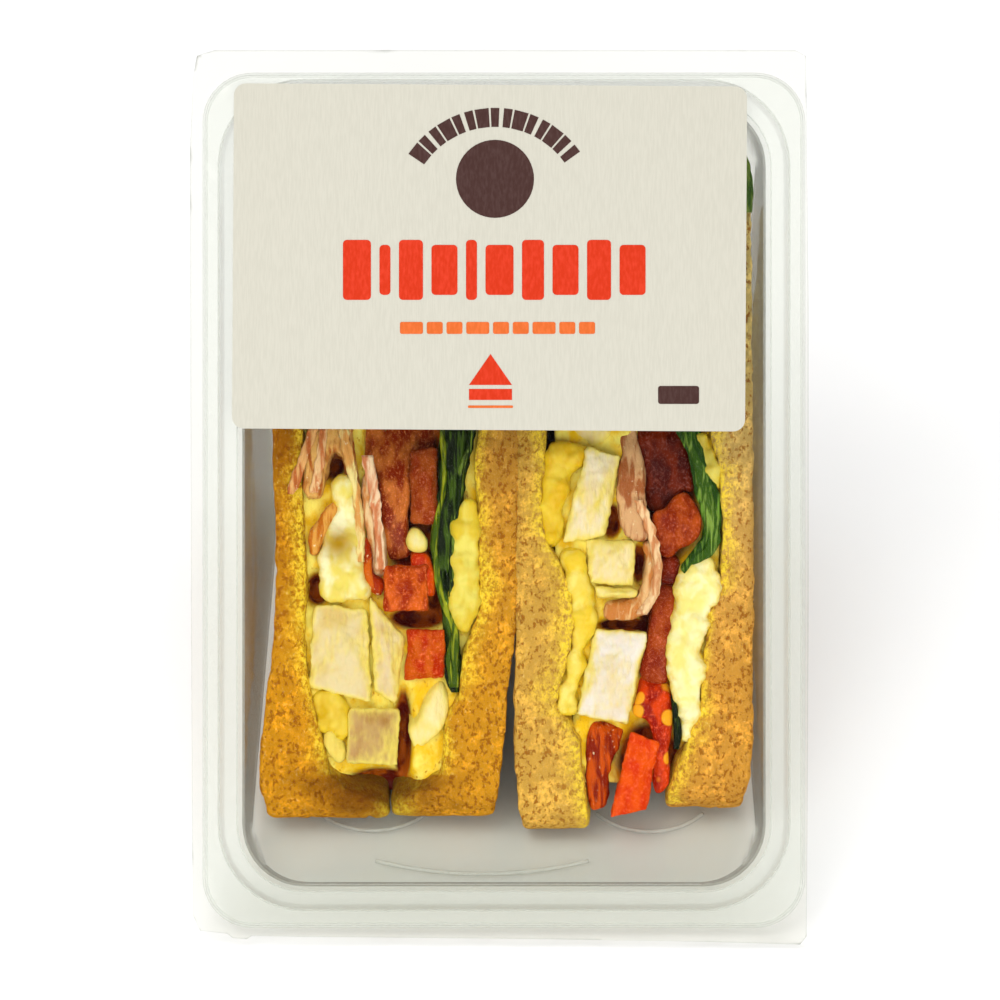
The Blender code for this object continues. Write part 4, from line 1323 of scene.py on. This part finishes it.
for order, (leaf_name, (pale_tone, deep_tone)) in enumerate(LEAVES.items()):
    make_leaf(leaf_name, pale_tone, deep_tone, order * 3.1)
print("leaves:", len(LEAVES))

# %% [markdown]
# Strips between two borders
# Leaf blades and shreds of bacon are long soft strips. Each is a grid whose rows are fitted
# between a left and a right border, given as a few rows of height, left and right. The middle
# of the strip bulges forward and waves, and then the strip gets its thickness. A curve with a
# taper would be quicker to draw, but both its borders would then bend alike.

# %% Write the strip
STRIP_COLUMNS = 10
STRIP_ROW = 0.6


def fitted(rows, v):
    """Left and right border of a strip at a height, between the two nearest rows."""
    for (high, high_left, high_right), (low, low_left, low_right) in zip(rows, rows[1:]):
        if v >= low:
            share = (v - low) / (high - low)
            return low_left + (high_left - low_left) * share, low_right + (high_right - low_right) * share
    return rows[-1][1], rows[-1][2]


def make_strip(name, rows, material, slot, level, bulge, ragged, thickness, seed):
    """A soft strip that fills the room between its borders."""
    top, foot = rows[0][0], rows[-1][0]
    bm = bmesh.new()
    bmesh.ops.create_grid(bm, x_segments=STRIP_COLUMNS,
                          y_segments=max(round((top - foot) / STRIP_ROW), 4), size=0.5)
    for vert in bm.verts:
        across, v = vert.co.x, foot + (top - foot) * (vert.co.y + 0.5)
        left, right = fitted(rows, v)
        fringe = noise.noise(Vector((v / 1.6, seed, 4.0 if across > 0 else 9.0))) * ragged * abs(across) * 2
        u = left + (right - left) * (across + 0.5) + fringe
        fold = math.sin(across * 7.0 + seed + v / 6.0) * bulge * 0.5
        dome = (0.25 - across * across) * 4 * bulge
        vert.co = (u, v, level + dome + fold + noise.noise(Vector((u / 3, v / 3, seed))) * bulge * 0.6)
    bmesh.ops.recalc_face_normals(bm, faces=bm.faces)
    strip = make_piece(name, bm, material, slot)
    wall = strip.modifiers.new("wall", "SOLIDIFY")
    wall.thickness = thickness * MM
    wall.offset = 0.0
    bake_modifiers(strip)


print("columns in a strip:", STRIP_COLUMNS)

# %% [markdown]
# Broad blades of lettuce
# In front of the leaves that are seen edge on, two blades turn their face to the cut, and the
# tip of another looks out beside the label. They are strips with a green finish.

# %% Add the blades
BLADES = {
    "blade_1": {"pale": (64, 90, 18), "deep": (10, 24, 0), "level": CUT_FACE - 1.2,
                "rows": [(20.0, -12.8, -5.2), (14.2, -12.8, -5.5), (9.6, -13.0, -6.5),
                         (4.4, -13.2, -7.8), (-3.0, -13.6, -8.5), (-9.6, -14.2, -9.2),
                         (-15.0, -13.5, -9.8), (-21.0, -12.7, -10.6), (-25.6, -12.2, -10.0),
                         (-31.6, -11.8, -8.6), (-36.0, -12.0, -8.5), (-38.8, -10.6, -9.2)]},
    "blade_2": {"pale": (110, 150, 48), "deep": (30, 64, 4), "level": CUT_FACE - 1.0,
                "rows": [(20.0, 33.0, 38.6), (13.6, 34.8, 39.6), (9.6, 37.0, 40.6), (5.0, 38.0, 42.2),
                         (1.6, 38.4, 43.3), (-1.0, 39.4, 43.9), (-5.0, 40.4, 43.8), (-8.0, 39.8, 43.0),
                         (-10.6, 37.8, 41.4), (-13.2, 35.8, 38.6), (-15.4, 36.0, 36.8)]},
    "blade_tip": {"pale": (120, 140, 60), "deep": (60, 92, 30), "level": CUT_FACE - 1.0,
                  "rows": [(70.0, 48.0, 48.8), (67.0, 46.5, 49.8), (63.0, 46.0, 50.3),
                           (58.0, 46.0, 50.0)]},
}
for order, (blade_name, data) in enumerate(BLADES.items()):
    blade = leaf_finish(blade_name + "_green", seen(*data["pale"]), seen(*data["deep"]))
    make_strip(blade_name, data["rows"], blade, "lettuce", data["level"], bulge=0.5, ragged=0.3,
               thickness=0.35, seed=order * 5.0)
print("blades:", len(BLADES))

# %% [markdown]
# Shreds of bacon
# Pulled bacon ends in thin shreds that hang over the other fillings. They are narrower strips
# with more ragged borders, and each has its own two tones.

# %% Add the shreds
SHREDS = {
    "shred_1a": {"pale": (250, 226, 150), "deep": (226, 160, 84),
                 "rows": [(14.5, -33.2, -31.6), (9.0, -32.4, -30.4), (2.0, -30.4, -29.0),
                          (-6.0, -29.8, -28.2), (-12.5, -29.4, -28.4)]},
    "shred_1b": {"pale": (236, 176, 110), "deep": (190, 104, 50),
                 "rows": [(14.5, -39.2, -37.4), (9.0, -41.0, -39.4), (3.5, -43.2, -41.0),
                          (1.2, -43.4, -42.4)]},
    "shred_1c": {"pale": (244, 196, 140), "deep": (206, 120, 66),
                 "rows": [(14.5, -37.0, -35.6), (7.0, -38.0, -36.4), (1.5, -39.0, -37.4)]},
    "shred_1d": {"pale": (250, 214, 176), "deep": (214, 130, 84),
                 "rows": [(9.0, -28.8, -26.6), (2.0, -27.2, -25.2), (-6.0, -26.0, -24.4),
                          (-14.0, -25.6, -24.0)]},
    "shred_2a": {"pale": (250, 208, 160), "deep": (212, 140, 90),
                 "rows": [(0.0, 26.2, 27.8), (-6.0, 28.8, 30.6), (-13.0, 30.4, 32.0),
                          (-19.0, 29.6, 31.2), (-23.0, 26.6, 28.8)]},
}
for order, (shred_name, data) in enumerate(SHREDS.items()):
    meat = bacon_finish(shred_name + "_meat", seen(*data["pale"]), seen(*data["deep"]))
    make_strip(shred_name, data["rows"], meat, "bacon", CUT_FACE + 0.3, bulge=0.35, ragged=0.5,
               thickness=0.5, seed=order * 7.0 + 2.0)
print("shreds:", len(SHREDS))

# %% [markdown]
# The bed of dressing between the pieces
# Between the pieces one sees dressing that has been pressed into every gap, and a few hollows
# that go deep and look almost black. Filling each gap with its own drop would take hundreds of
# pieces. So one lumpy sheet per half stands a little behind the cut, and it sinks and darkens at
# each hollow. Its finish is the dressing's, with painted shade in dark red-browns where a hollow
# is painted.

# %% Mix the finish of the pressed dressing
bed_finish = Finish("pressed_dressing", roughness=0.25, specular=0.08)
bed_tone = bed_finish.clouds((3.0, 5.0, 3.0), detail=3.0)
bed_fleck = bed_finish.clouds((0.9, 1.2, 0.9), detail=3.0)
creams = bed_finish.between(bed_tone, 0.35, 0.65)
bed_colour = bed_finish.blend(creams, seen(250, 234, 110), seen(244, 196, 24))
specks = bed_finish.between(bed_fleck, 0.6, 0.75)
bed_colour = bed_finish.blend(specks, bed_colour, seen(200, 140, 20))
# Painted shade: the cream turns dark red-brown, near black, where the bed sinks into a hollow.
browns = bed_finish.between(bed_tone, 0.4, 0.6)
hollow_shade = bed_finish.blend(browns, seen(96, 14, 2), seen(176, 84, 6))
shade_in_hollows = bed_finish.between(bed_finish.painted("hollow"), 0.15, 0.6)
bed_finish.colour(bed_finish.blend(shade_in_hollows, bed_colour, hollow_shade))
bed_finish.relief(bed_finish.sum(bed_tone, bed_fleck, 0.5), 0.9, 0.6)
bed_finish.rough(bed_fleck, 0.15, 0.45)
print("finish:", bed_finish.material.name)

# %% [markdown]
# Where the bed sinks
# Each hollow is an oval, given by its centre and half sizes. The sheet sinks by a bell curve
# around it, and the deepest of the curves counts where two of them meet. The right bed is wider
# in its upper part, where the slices stand further apart.

# %% Press dressing into the gaps and leave the hollows open
BED_DEPTH = 3.0
BED_STEP = 0.8
BED_THICKNESS = 1.0
HOLLOW_DEPTH = 6.0
WIDER_FROM, WIDER_RISE = -22.0, 8.0
BEDS = {
    "left": {"sides": (-42.5, -5.5), "ends": (-58.5, 56.0), "wider": (0.0, 0.0),
             "hollows": [(-34.4, 8.2, 2.6, 4.0), (-37.6, -18.0, 2.4, 3.2), (-17.4, -23.8, 5.6, 2.2),
                         (-20.4, -48.0, 1.7, 10.0), (-25.0, -57.5, 7.0, 3.4), (-26.0, 12.0, 2.0, 8.0),
                         (-18.5, 4.0, 7.0, 22.0), (-14.5, -16.0, 4.0, 8.0)]},
    "right": {"sides": (14.0, 41.0), "ends": (-57.0, 56.0), "wider": (3.6, 2.4),
              "hollows": [(21.8, -4.2, 2.0, 3.4), (27.3, -12.8, 1.4, 4.0), (24.4, -25.2, 5.4, 1.4),
                          (12.6, -40.2, 1.2, 2.4), (20.4, -49.0, 2.6, 4.0), (31.0, 8.0, 4.0, 9.0),
                          (29.0, -22.0, 2.0, 3.0), (33.2, 3.0, 6.0, 16.0), (31.4, -30.0, 4.0, 18.0),
                          (29.5, -53.0, 6.5, 8.0)]},
}


def make_bed(name, sides, ends, wider, hollows):
    """One lumpy sheet that sinks at each hollow."""
    left, right = sides
    foot, top = ends
    bm = bmesh.new()
    bmesh.ops.create_grid(bm, x_segments=round((right - left) / BED_STEP),
                          y_segments=round((top - foot) / BED_STEP), size=0.5)
    hollow = bm.verts.layers.float.new("hollow")
    for vert in bm.verts:
        v = foot + (top - foot) * (vert.co.y + 0.5)
        above = min(max((v - WIDER_FROM) / WIDER_RISE, 0.0), 1.0)
        begin, end = left - wider[0] * above, right + wider[1] * above
        u = begin + (end - begin) * (vert.co.x + 0.5)
        sink = 0.0
        for centre_u, centre_v, half_width, half_height in hollows:
            away = oval_distance(u, v, (centre_u, centre_v), (half_width, half_height))
            # The hollow value also tells the finish where to paint shade.
            sink = max(sink, math.exp(-(away ** 2)))
        vert[hollow] = sink
        point = Vector((u, v, 0))
        bumpy = lumps(point, 4.0, 2.0) * 0.9 + lumps(point, 1.8, 5.0) * 0.35
        vert.co = (u, v, CUT_FACE - BED_DEPTH + bumpy - HOLLOW_DEPTH * sink)
    bed = make_piece(name, bm, bed_finish.material, "dressing")
    wall = bed.modifiers.new("wall", "SOLIDIFY")
    wall.thickness = BED_THICKNESS * MM
    bake_modifiers(bed)


for half_name, bed_data in BEDS.items():
    make_bed("pressed_dressing_" + half_name, **bed_data)
print("beds of dressing:", len(BEDS))
